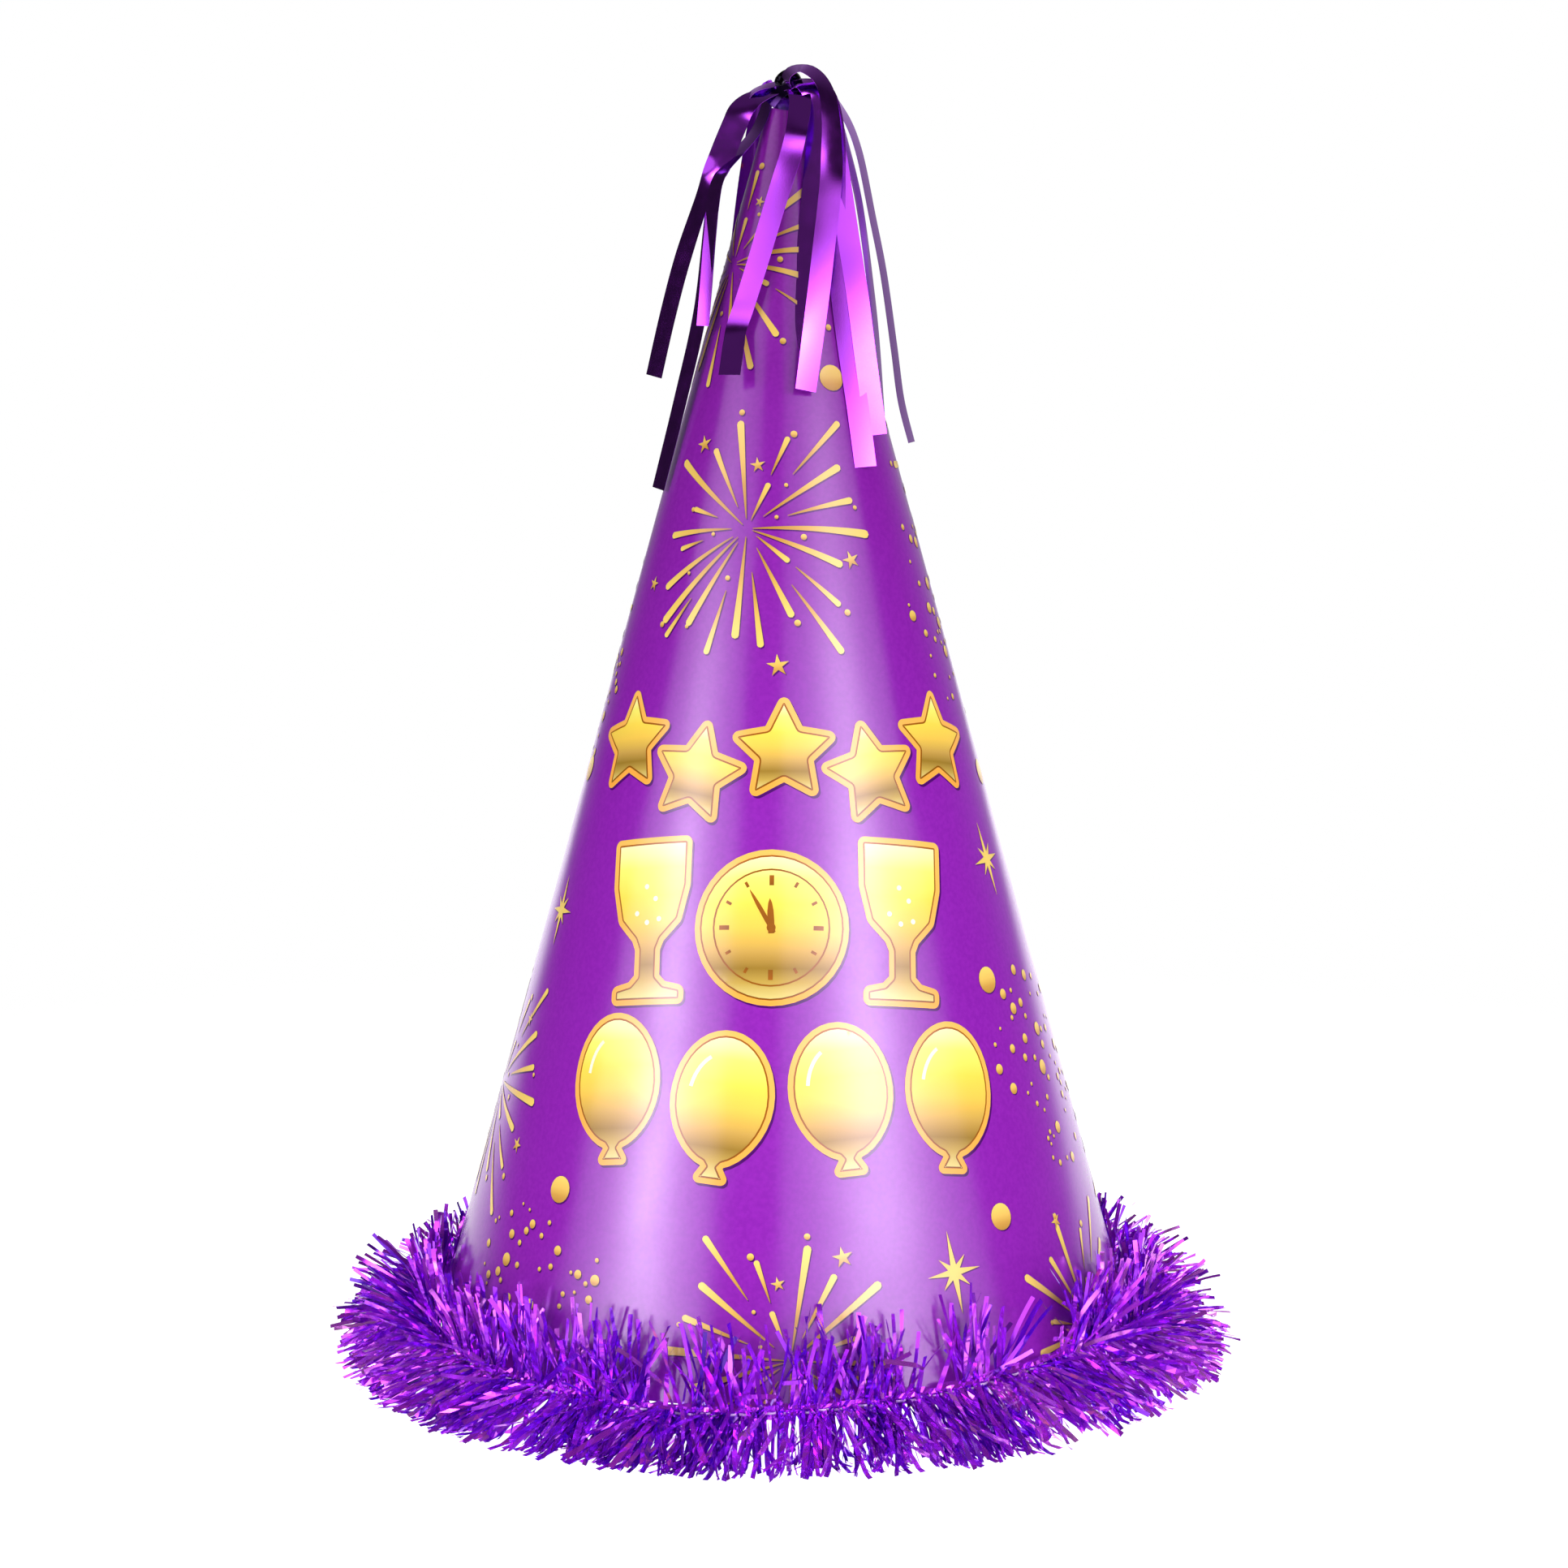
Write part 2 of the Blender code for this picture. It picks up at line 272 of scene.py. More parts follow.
# Each gold ink's tones, from the bottom of a motif to its top.
GOLD_TONES = {
    "border": [(0.0, srgb(252, 176, 70)), (1.0, srgb(255, 196, 96))],
    "line": LINE_TONES,
    "gold": [(0.00, srgb(226, 214, 130)), (0.12, srgb(196, 166, 74)), (0.22, srgb(156, 124, 44)),
             (0.34, srgb(206, 168, 80)), (0.50, srgb(248, 208, 84)), (0.66, srgb(255, 226, 84)),
             (0.84, srgb(255, 250, 116)), (1.00, srgb(255, 252, 190))],
    "spark": [(0.0, srgb(182, 134, 56)), (0.35, srgb(214, 166, 76)), (0.6, srgb(238, 200, 98)),
              (1.0, srgb(252, 224, 112))],
    "glint": [(0.0, srgb(255, 250, 214)), (1.0, srgb(255, 252, 226))],
    "mark": LINE_TONES,
}


def print_gold(name):
    shader = Shader(f"print_{name}", **INK)
    # the gold inks, with the same painted shade towards the tip
    paint_tip_shade(shader, shader.ramp(shader.attribute("grade"), *GOLD_TONES[name]))
    shader.bump(2600, 2, 0.10, 0.02 * MM)
    return shader.material


def plain_board():
    """The uncoated inside of the card."""
    shader = Shader("plain_board", Roughness=0.85)
    shader.set(Base_Color=shader.mottle(500, 6, srgb(222, 220, 214), srgb(240, 238, 232)))
    shader.bump(1500, 4, 0.25, 0.04 * MM)
    return shader.material


# Dyes of the metallised film, from each film's darkest strips to its lightest. The knot's dye is
# painted shade, near black for the knot in shadow under the loop.
STREAMER_DYE = [(0.0, srgb(40, 8, 78)), (0.3, srgb(70, 16, 130)), (0.4, srgb(170, 46, 224)),
                (1.0, srgb(180, 54, 232))]
KNOT_PAINTED_SHADE_DYE = [(0.0, srgb(16, 3, 28)), (1.0, srgb(84, 24, 132))]
TINSEL_DYE = [(0.0, srgb(62, 8, 150)), (0.25, srgb(150, 26, 244)), (0.65, srgb(212, 56, 255)),
              (1.0, srgb(250, 150, 255))]


def metal_film(name, dye, low, high, grain=2600, dent_size=0.03 * MM, **settings):
    """Metallised film with a clear coat; each strip has its own shade of the dye."""
    shader = Shader(name, **{"Metallic": 1.0, "IOR": 1.5, "Coat_Weight": 0.8,
                             "Coat_Roughness": 0.12, **settings})
    shader.set(Base_Color=shader.ramp(shader.attribute("shade"), *dye),
               Roughness=shader.mottle(300, 3, grey(low), grey(high)))
    shader.bump(grain, 3, 0.14, dent_size)
    return shader.material


def soft_solid(name, low, high, scale, roughness):
    shader = Shader(name, Roughness=roughness)
    shader.set(Base_Color=shader.mottle(scale, 4, low, high))
    shader.bump(scale * 3, 3, 0.3, 0.05 * MM)
    return shader.material


# ------------------------------ the card
def dent(azimuth, slant):
    """The rolled card isn't a perfect cone: slow swells of about a tenth of a millimetre."""
    ring = Vector((sin(azimuth), cos(azimuth), slant * 9))
    fade = smooth((slant - 0.03) / 0.1)
    return 0.16 * MM * fade * noise.noise(ring * 1.7) + 0.05 * MM * fade * noise.noise(ring * 5.0)


def card_point(azimuth, slant, lift):
    """A point lift metres off the card's outer face."""
    lift += dent(azimuth, slant)
    radius = slant * sin(HALF_ANGLE) + lift * cos(HALF_ANGLE)
    return polar(radius, azimuth, APEX - slant * cos(HALF_ANGLE) + lift * sin(HALF_ANGLE))


def card_radius(height):
    return (APEX - height) * math.tan(HALF_ANGLE)


def make_card(ground, board):
    """One rolled sheet: its upper layer lies on the lower one along a lap at the back."""
    columns, rows = 420, 44
    lap_width, lap_gap, lap_share = 12 * MM, 0.25 * MM, 0.035
    outer, inner = [], []
    for i in range(columns + 1):
        t = i / columns
        lift = (CARD + lap_gap) * smooth((t - (1 - 2 * lap_share)) / lap_share)
        for k in range(rows + 1):
            slant = RIM_SLANT + (TIP_SLANT - RIM_SLANT) * k / rows
            lap = min(lap_width / 2 / (slant * sin(HALF_ANGLE)), radians(20))
            start, end, knee = -pi - lap, pi + lap, pi - lap - 0.03
            bend = 1 - lap_share
            azimuth = start + (knee - start) * t / bend if t <= bend else (
                knee + (end - knee) * (t - bend) / lap_share)
            ragged = 0.35 * MM * sin(3 * azimuth + 1) if k == rows else 0.0
            outer.append(card_point(azimuth, slant + ragged, lift))
            inner.append(card_point(azimuth, slant + ragged, lift - CARD))
    faces, indices = [], []

    def quad(mat, *corners):
        faces.append([layer * len(outer) + i * (rows + 1) + k for i, k, layer in corners])
        indices.append(mat)

    for i in range(columns):
        j = i + 1
        for k in range(rows):
            quad(0, (i, k, 0), (j, k, 0), (j, k + 1, 0), (i, k + 1, 0))
            quad(1, (i, k + 1, 1), (j, k + 1, 1), (j, k, 1), (i, k, 1))
        quad(1, (i, 0, 1), (j, 0, 1), (j, 0, 0), (i, 0, 0))
        quad(1, (i, rows, 0), (j, rows, 0), (j, rows, 1), (i, rows, 1))
    for k in range(rows):
        quad(1, (0, k + 1, 0), (0, k + 1, 1), (0, k, 1), (0, k, 0))
        quad(1, (columns, k, 0), (columns, k, 1), (columns, k + 1, 1), (columns, k + 1, 0))
    card = make_mesh("printed_card", outer + inner, faces, [ground, board], indices)
    for azimuth in (-pi / 2, pi / 2):
        punch(card, azimuth)
    card.data.set_sharp_from_angle(angle=radians(50))
    settle(card, "printed_card", "cone_shell")


def punch(card, azimuth):
    """Cuts one round hole for the elastic through the card."""
    sides, depths = 24, (-4 * MM, 4 * MM)
    out = polar(1, azimuth, 0)
    across = Vector((-out.y, out.x, 0))
    centre = out * card_radius(HOLE_HEIGHT) + Vector((0, 0, HOLE_HEIGHT))
    verts = [centre + out * depth + HOLE_RADIUS * (across * cos(t) + Vector((0, 0, sin(t))))
             for depth in depths for t in turns(sides)]
    caps = [tuple(reversed(range(sides))), tuple(range(sides, 2 * sides))]
    cutter = make_mesh("punch", verts, grid(1, sides, tube=True) + caps, [], smooth_shade=False)
    cut = card.modifiers.new("hole", "BOOLEAN")
    cut.operation = "DIFFERENCE"
    cut.object = cutter
    graph = bpy.context.evaluated_depsgraph_get()
    card.data = bpy.data.meshes.new_from_object(card.evaluated_get(graph))
    card.modifiers.clear()
    bpy.data.objects.remove(cutter)


# ------------------------------ the print
class Ink:
    """One ink of the print: faces laid on the card, each point with its grade of tone."""

    def __init__(self, lift):
        self.lift = lift
        self.verts, self.faces, self.grades = [], [], []

    def add(self, points, faces, grades):
        base = len(self.verts)
        self.verts += points
        self.faces += [tuple(base + i for i in face) for face in faces]
        self.grades += grades

    def make(self, name, mat):
        obj = make_mesh(name, self.verts, self.faces, [mat])
        point_attribute(obj, "grade", self.grades)
        settle(obj, "printed_card")


class Place:
    """A spot on the card. Its x runs to the right and its y towards the apex, unrolled flat."""

    def __init__(self, azimuth_degrees, slant_mm, turn_degrees=0.0):
        self.azimuth = radians(azimuth_degrees)
        self.slant = slant_mm * MM
        self.turn = radians(turn_degrees)

    def on_card(self, x, y, lift):
        """The slant and the place in space of a flat point."""
        c, s = cos(self.turn), sin(self.turn)
        across, up = x * c - y * s, x * s + y * c
        down = self.slant - up
        slant = hypot(across, down)
        azimuth = self.azimuth + math.atan2(across, down) / sin(HALF_ANGLE)
        return slant, card_point(azimuth, slant, lift)


PRINT_TOP = TIP_SLANT + MM
PRINT_EDGE = RIM_SLANT - 0.4 * MM


def lay(ink, place, flat_points, faces, grades, shift=(0.0, 0.0)):
    """Lays flat faces on the card, and drops those that would pass the card's edges."""
    laid = [place.on_card(x + shift[0], y + shift[1], ink.lift) for x, y in flat_points]
    kept = [face for face in faces if all(PRINT_TOP < laid[i][0] < PRINT_EDGE for i in face)]
    used = sorted({i for face in kept for i in face})
    new_index = {old: new for new, old in enumerate(used)}
    ink.add([laid[i][1] for i in used], [[new_index[i] for i in face] for face in kept],
            [grades[i] for i in used])


def fan(ink, place, outline, grades, shift=(0.0, 0.0)):
    """A small motif filled from its centre."""
    count = len(outline)
    centre = (sum(x for x, _ in outline) / count, sum(y for _, y in outline) / count)
    faces = [(count, i, (i + 1) % count) for i in range(count)]
    lay(ink, place, outline + [centre], faces, grades + [sum(grades) / count], shift)


def strip(ink, place, start, end, widths, shift=(0.0, 0.0), grades=None):
    """A stroke between two flat points, through half widths that crowd towards its end."""
    (x0, y0), (x1, y1) = start, end
    length = hypot(x1 - x0, y1 - y0)
    along = ((x1 - x0) / length, (y1 - y0) / length)
    steps = len(widths) - 1
    points, tones = [], []
    for i, width in enumerate(widths):
        t = 1 - (1 - i / steps) ** 1.5
        x, y = x0 + (x1 - x0) * t, y0 + (y1 - y0) * t
        points += [(x - along[1] * width, y + along[0] * width),
                   (x + along[1] * width, y - along[0] * width)]
        tones += [t if grades is None else grades[i]] * 2
    lay(ink, place, points, grid(steps, 1), tones, shift)


SHADOW_SHIFT = (0.26 * MM, -0.34 * MM)


def with_shadow(inks, draw, *shape, **options):
    """Draws a small motif's drop shadow, and the motif in gold."""
    draw(inks["shadow"], *shape, shift=SHADOW_SHIFT, **options)
    draw(inks["spark"], *shape, **options)


def teardrop(length, width):
    """Half widths of a stroke that starts as a point and ends in a round head."""
    steps = 18
    widths = []
    head = min(width / length, 0.5)
    for i in range(steps + 1):
        t = 1 - (1 - i / steps) ** 1.5
        body = 0.10 + 0.90 * min(1.0, t / (1 - head)) ** 0.85
        into = max(0.0, (t - (1 - head)) / head)
        widths.append(width * body * math.sqrt(max(0.0, 1 - into * into)))
    return widths


# One firework's strokes: direction in degrees, start and end in millimetres. Every
# firework of the print is this one, turned, scaled and sometimes mirrored.
STROKES = (
    (98, 2.5, 27.5), (117, 6, 23), (139, 1.5, 28.5), (160, 8.5, 16.5), (181, 4, 23),
    (193, 12, 19.5), (211, 4, 27), (225, 3, 32), (231, 22, 34), (239, 4, 28), (255, 16, 32.5),
    (268, 2, 27.5), (281, 11, 30), (301, 5.5, 25), (312, 18, 39), (325, 3, 13.5), (325, 15.5, 30),
    (344, 1.5, 25.5), (4, 1.5, 31.5), (21, 10.5, 28), (39, 5, 28.5), (54, 17.5, 36),
    (68, 2.2, 12.5), (70, 14.5, 25),
)
# Its loose dots: direction, distance and radius.
STROKE_DOTS = (
    (97, 29.5, 0.75), (161, 16.8, 0.6), (188, 9, 0.5), (215, 18.7, 0.45), (225, 32.6, 0.75),
    (239, 28.2, 0.55), (252, 13, 0.65), (302, 26.8, 0.8), (325, 32.4, 0.8), (355, 14.2, 0.75),
    (24, 7.8, 0.5), (17, 28.2, 0.55), (52, 14.4, 0.5), (68, 26.2, 0.85),
)


def burst(inks, place, scale, turn, mirror, longest=40):
    """A firework: strokes that widen to a round head, and loose dots among them."""
    def reach(degrees, distance):
        angle = radians(mirror * degrees + turn)
        return (cos(angle) * distance * scale * MM, sin(angle) * distance * scale * MM)

    for degrees, start, end in STROKES:
        if end <= longest:
            width = MM * scale ** 0.5 * (0.50 + 0.018 * (end - start))
            widths = teardrop((end - start) * scale * MM, width)
            with_shadow(inks, strip, place, reach(degrees, start), reach(degrees, end), widths)
    for degrees, distance, radius in STROKE_DOTS:
        dot(inks, place, radius * MM * scale ** 0.5, reach(degrees, distance))


def ring_points(radius, sides=40, centre=(0.0, 0.0)):
    return [(centre[0] + radius * cos(t), centre[1] + radius * sin(t)) for t in turns(sides)]


def dot(inks, place, radius, centre=(0.0, 0.0)):
    grades = [0.55 + 0.45 * sin(t) for t in turns(20)]
    with_shadow(inks, fan, place, ring_points(radius, 20, centre), grades)


def star_outline(points, radius, inner_share):
    outline = []
    for i in range(2 * points):
        r = radius if i % 2 == 0 else radius * inner_share
        t = pi / 2 + pi * i / points
        outline.append((r * cos(t), r * sin(t)))
    return outline


def small_star(inks, place, radius):
    outline = star_outline(5, radius * MM, 0.36)
    grades = [0.5 + 0.5 * y / (radius * MM) for _, y in outline]
    with_shadow(inks, fan, place, outline, grades)


def sparkle(inks, place, radius):
    """Eight thin points, the upright ones longest."""
    widths = [0.95 * MM * (1 - t / 8) ** 1.5 + 0.02 * MM for t in range(9)]
    grades = [0.95 - 0.35 * t / 8 for t in range(9)]
    for i in range(8):
        reach = radius * MM * (1.0, 0.52, 0.74, 0.52)[i % 4]
        angle = pi / 2 + pi * i / 4
        end = (reach * cos(angle), reach * sin(angle))
        with_shadow(inks, strip, place, (0, 0), end, widths, grades=grades)


def dot_cloud(inks, place, width, height, count, seed):
    """Loose confetti dots, larger near the middle, none closer than their sizes allow."""
    chance = random.Random(seed)
    placed = []
    for _ in range(count * 30):
        if len(placed) >= count:
            break
        x, y = chance.uniform(-1, 1), chance.uniform(-1, 1)
        if x * x + y * y > 1:
            continue
        radius = MM * chance.choice((0.5, 0.7, 0.95, 1.2, 1.6)) * (1.2 - 0.4 * hypot(x, y))
        x, y = x * width / 2 * MM, y * height / 2 * MM
        if all(hypot(x - a, y - b) > radius + r + 0.6 * MM for a, b, r in placed):
            placed.append((x, y, radius))
            dot(inks, place, radius, (x, y))


# the large motifs: filled outlines with a gold shade, a fine dark line and a bright border
BORDER = 1.35 * MM
LINE = 0.42 * MM
BIG_SHADOW_SHIFT = (0.5 * MM, -0.6 * MM)
FILL_STEP = 1.7 * MM


def corners(outline):
    """Each point of an outline between its neighbours."""
    count = len(outline)
    for i in range(count):
        yield [Vector(outline[j % count]) for j in (i - 1, i, i + 1)]


def rounded(outline, radius, steps=4):
    """Rounds an outline's corners."""
    result = []
    for before, here, after in corners(outline):
        reach = min(radius, (before - here).length * 0.45, (after - here).length * 0.45)
        a = here + (before - here).normalized() * reach
        b = here + (after - here).normalized() * reach
        for k in range(steps + 1):
            t = k / steps
            result.append(tuple(a * (1 - t) ** 2 + here * 2 * t * (1 - t) + b * t * t))
    return result


def grown(outline, distance):
    """The outline moved outwards by distance (inwards if negative)."""
    following = outline[1:] + outline[:1]
    area = sum(x0 * y1 - x1 * y0 for (x0, y0), (x1, y1) in zip(outline, following))
    side = 1 if area > 0 else -1
    result = []
    for before, here, after in corners(outline):
        n1 = Vector((here.y - before.y, before.x - here.x)).normalized() * side
        n2 = Vector((after.y - here.y, here.x - after.x)).normalized() * side
        mean = n1 + n2
        mean = mean / max(mean.length_squared / 2, 0.5)
        result.append(tuple(here + mean * distance))
    return result


def filled(ink, place, outline, low, high, shift=(0.0, 0.0)):
    """Fills an outline with faces small enough to follow the card."""
    points = []
    for _, a, b in corners(outline):
        parts = max(1, math.ceil((b - a).length / FILL_STEP))
        points += [a.lerp(b, k / parts) for k in range(parts)]
    count = len(points)
    edges = [(i, (i + 1) % count) for i in range(count)]
    xs, ys = zip(*points)
    x = min(xs) + FILL_STEP / 2
    while x < max(xs):
        y = min(ys) + FILL_STEP / 2
        while y < max(ys):
            points.append(Vector((x, y)))
            y += FILL_STEP
        x += FILL_STEP
    verts, _, faces, *_ = geometry.delaunay_2d_cdt(points, edges, [], 1, 1e-7)
    grades = [min(max((y - low) / (high - low), 0), 1) for _, y in verts]
    lay(ink, place, verts, faces, grades, shift)


def emblem(inks, place, outline, corner=0.8 * MM):
    """A large motif: shadow, border, dark line and shaded gold, one inside the other."""
    shape = rounded(outline, corner)
    ys = [y for _, y in shape]
    levels = min(ys), max(ys)
    border = rounded(grown(shape, BORDER), 1.2 * MM, 2)
    filled(inks["shadow"], place, border, *levels, BIG_SHADOW_SHIFT)
    filled(inks["border"], place, border, *levels)
    filled(inks["line"], place, shape, *levels)
    filled(inks["gold"], place, grown(shape, -LINE), *levels)


def big_star(inks, place, radius):
    emblem(inks, place, star_outline(5, radius * MM, 0.50))


def balloon(inks, place, size):
    """A balloon with its knot at the bottom."""
    r = size * MM
    outline = []
    for i in range(36):
        t = radians(-78) + radians(336) * i / 35
        narrow = 1 - 0.12 * max(0.0, -sin(t)) ** 2
        outline.append((r * narrow * cos(t), 1.32 * r * sin(t) + 0.12 * r))
    outline += [(-0.10 * r, -1.28 * r), (-0.25 * r, -1.52 * r), (0.25 * r, -1.52 * r),
                (0.10 * r, -1.28 * r)]
    emblem(inks, place, outline, 0.3 * MM)
    glint = [radians(118 + 4.2 * k) for k in range(13)]
    points = [(0.70 * r * cos(t), (0.96 * sin(t) + 0.12) * r) for t in glint]
    for start, end in zip(points, points[1:]):
        strip(inks["glint"], place, start, end, [0.45 * MM] * 2)


def goblet(inks, place, size):
    """A tall party glass: a deep bowl on a stem with a foot."""
    r = size * MM
    right = [(0.54, 1.0), (0.53, 0.45), (0.42, 0.02), (0.18, -0.22), (0.12, -0.36),
             (0.12, -0.72), (0.24, -0.84), (0.47, -0.89), (0.47, -1.0)]
    outline = [(x * r, y * r) for x, y in right] + [(-x * r, y * r) for x, y in reversed(right)]
    emblem(inks, place, outline, 0.5 * MM)
    strip(inks["line"], place, (-0.50 * r, 0.66 * r), (0.50 * r, 0.66 * r), [0.22 * MM] * 9)
    for x, y in ((-0.18, 0.10), (0.10, 0.28), (-0.04, 0.44), (0.16, 0.02), (-0.02, -0.02)):
        fan(inks["glint"], place, ring_points(0.65 * MM, 14, (x * r, y * r)), [0.5] * 14)


def clock(inks, place, size):
    """A round clock face with plain hour marks, its hands just before midnight."""
    r = size * MM
    emblem(inks, place, ring_points(r), 0.1 * MM)
    ring = ring_points(0.80 * r + 0.20 * MM) + ring_points(0.80 * r - 0.20 * MM)
    lay(inks["mark"], place, ring, grid(1, 40, tube=True), [0.5] * 80)

    def mark(angle, start, end, widths):
        strip(inks["mark"], place, (start * r * cos(angle), start * r * sin(angle)),
              (end * r * cos(angle), end * r * sin(angle)), widths)

    for hour in range(12):
        start, half = (0.58, 0.55 * MM) if hour % 3 == 0 else (0.64, 0.35 * MM)
        mark(pi / 2 - pi * hour / 6, start, 0.72, [half] * 4)
    for degrees, reach, half in ((3, 0.40, 0.75 * MM), (30, 0.60, 0.5 * MM)):
        widths = [half, half * 1.1, half, half * 0.6, 0.05 * MM]
        mark(pi / 2 + radians(degrees), -0.08, reach, widths)
    fan(inks["mark"], place, ring_points(1.1 * MM, 16), [0.5] * 16)


def make_print():
    inks = {name: Ink((0.05 + 0.02 * i) * MM) for i, name in enumerate(("shadow", *GOLD_TONES))}

    # three rows of large motifs across the front: azimuth, slant and turn
    for place in ((-52, 178, 10), (-26, 184, -8), (0, 178, 0), (26, 184, 8), (52, 178, -10)):
        big_star(inks, Place(*place), 12.2)
    goblet(inks, Place(-34, 221, 8), 19.2)
    clock(inks, Place(-3, 221), 17.6)
    goblet(inks, Place(29, 221, -8), 19.2)
    for place in ((-36, 262, 9), (-12.5, 264, -5), (11.5, 262, 4), (35, 264, -9)):
        balloon(inks, Place(*place), 11.6)

    # fireworks: azimuth, slant, scale, turn, mirror and the longest stroke's reach
    for azimuth, slant, *style in (
            (-16, 123, 1.0, 0, 1), (-57, 56, 0.97, 17, 1, 35), (1, 324, 1.0, 179, -1),
            (-84, 271, 1.0, 0, 1), (60, 328, 1.0, 1, 1), (124, 110, 0.95, 70, 1),
            (160, 76, 0.85, 0, -1), (-128, 150, 1.0, 120, 1), (128, 190, 1.0, 200, -1),
            (-165, 232, 1.1, 60, 1), (108, 285, 1.05, 150, 1), (170, 305, 1.1, 20, -1),
            (-125, 310, 1.0, -40, 1)):
        burst(inks, Place(azimuth, slant), *style)

    # small stars and sparkles: azimuth, slant, radius; then large dots: azimuth, slant
    for azimuth, slant, radius in (
            (-46, 102, 2.4), (-13, 107, 2.0), (28, 131, 2.4), (-2, 157, 2.9), (-61, 138, 2.0),
            (10, 300, 2.6), (-1, 306, 1.8), (-34, 40, 1.5), (57, 300, 2.2), (-62, 282, 2.2),
            (-72, 252, 1.9), (95, 150, 2.4), (140, 120, 2.2), (-150, 190, 2.6), (150, 250, 2.5),
            (-100, 205, 2.2), (180, 180, 2.4), (-155, 280, 2.4), (135, 322, 2.2)):
        small_star(inks, Place(azimuth, slant, azimuth * 7 % 40 - 20), radius)
    for azimuth, slant, radius in (
            (65, 209, 9.5), (-70, 223, 9.0), (30, 306, 10.0), (105, 240, 9.0),
            (-110, 100, 7.5), (-140, 265, 9.5), (150, 150, 8.5)):
        sparkle(inks, Place(azimuth, slant, 4), radius)
    for place in ((31, 85), (52, 238), (-45, 289), (42, 295), (-79, 187), (-95, 240),
                  (80, 188), (120, 70), (-160, 110), (145, 215)):
        dot(inks, Place(*place), 3.3 * MM)

    # clouds of dots: azimuth, slant, width, height and how many
    clouds = (
        (70, 146, 24, 50, 30), (68, 262, 46, 54, 56), (-49, 309, 48, 30, 34),
        (-80, 170, 14, 34, 16), (130, 260, 40, 40, 40), (-140, 215, 34, 40, 34),
        (-175, 150, 30, 40, 30),
    )
    for i, (azimuth, slant, *size) in enumerate(clouds):
        dot_cloud(inks, Place(azimuth, slant), *size, seed=300 + i)

    for name, ink in inks.items():
        ink.make(f"print_{name}", print_gold(name) if name in GOLD_TONES else print_shadow())


# ------------------------------ the garland
def core_height(azimuth):
    """The sewn middle of the garland rides up a little on the hat's right front."""
    def rise(centre, width):
        away = (math.degrees(azimuth) - centre + 180) % 360 - 180
        return math.exp(-(away / width) ** 2)
    wave = 0.6 * sin(3 * azimuth + 0.6) + 0.4 * sin(7 * azimuth)
    return (7.6 + 5.8 * rise(50, 27) + 2.2 * rise(-75, 30) + 3 * rise(160, 50) + wave) * MM


class Row(NamedTuple):
    """A row of tinsel strands: how many, and how they leave the sewn core."""
    count: int
    width: float        # millimetres
    rise: tuple         # lowest and highest angle above the horizon, degrees
    length: tuple       # shortest and longest, millimetres
    spread: float       # sideways lean, degrees
    crush: float        # how much each step of the film is turned, degrees
    dye: tuple          # lowest and highest shade
    cover: object = None    # share of strands kept at an azimuth


STRAND_STEPS = 11
TUFTS = 120                         # bunches of strands that lean alike
STRAY_SHARE = 0.05
KINKED_SHARE = 0.06
CARD_GAP = 0.8 * MM                 # from the card to a strand's middle line
TABLE_GAP = 0.3 * MM                # from the table to a strand's middle line
EDGE_GAP = 0.1 * MM                 # from the table to a strand's edges
UP = np.array((0.0, 0.0, 1.0))


def strand_path(out, side, point, rise, droop, lean, sway, length, kink_step, kink_turn):
    """Points and headings of one strand, kept off the card and the table."""
    path = []
    for k in range(STRAND_STEPS + 1):
        t = k / STRAND_STEPS
        angle, tilt = rise - droop * t * t, lean + sway * t
        if k > kink_step:
            angle, tilt = angle + 0.4 * kink_turn, tilt + kink_turn
        heading = out * cos(angle) * cos(tilt) + side * sin(tilt) + UP * sin(angle) * cos(tilt)
        if k:
            point = point + heading * length / STRAND_STEPS
        reach = hypot(point[0], point[1])
        clear = card_radius(point[2]) + CARD_GAP
        if reach < clear:
            point = point * np.array((clear / reach, clear / reach, 1.0))
        point = np.array((point[0], point[1], max(point[2], TABLE_GAP)))
        path.append((point, heading))
    return path


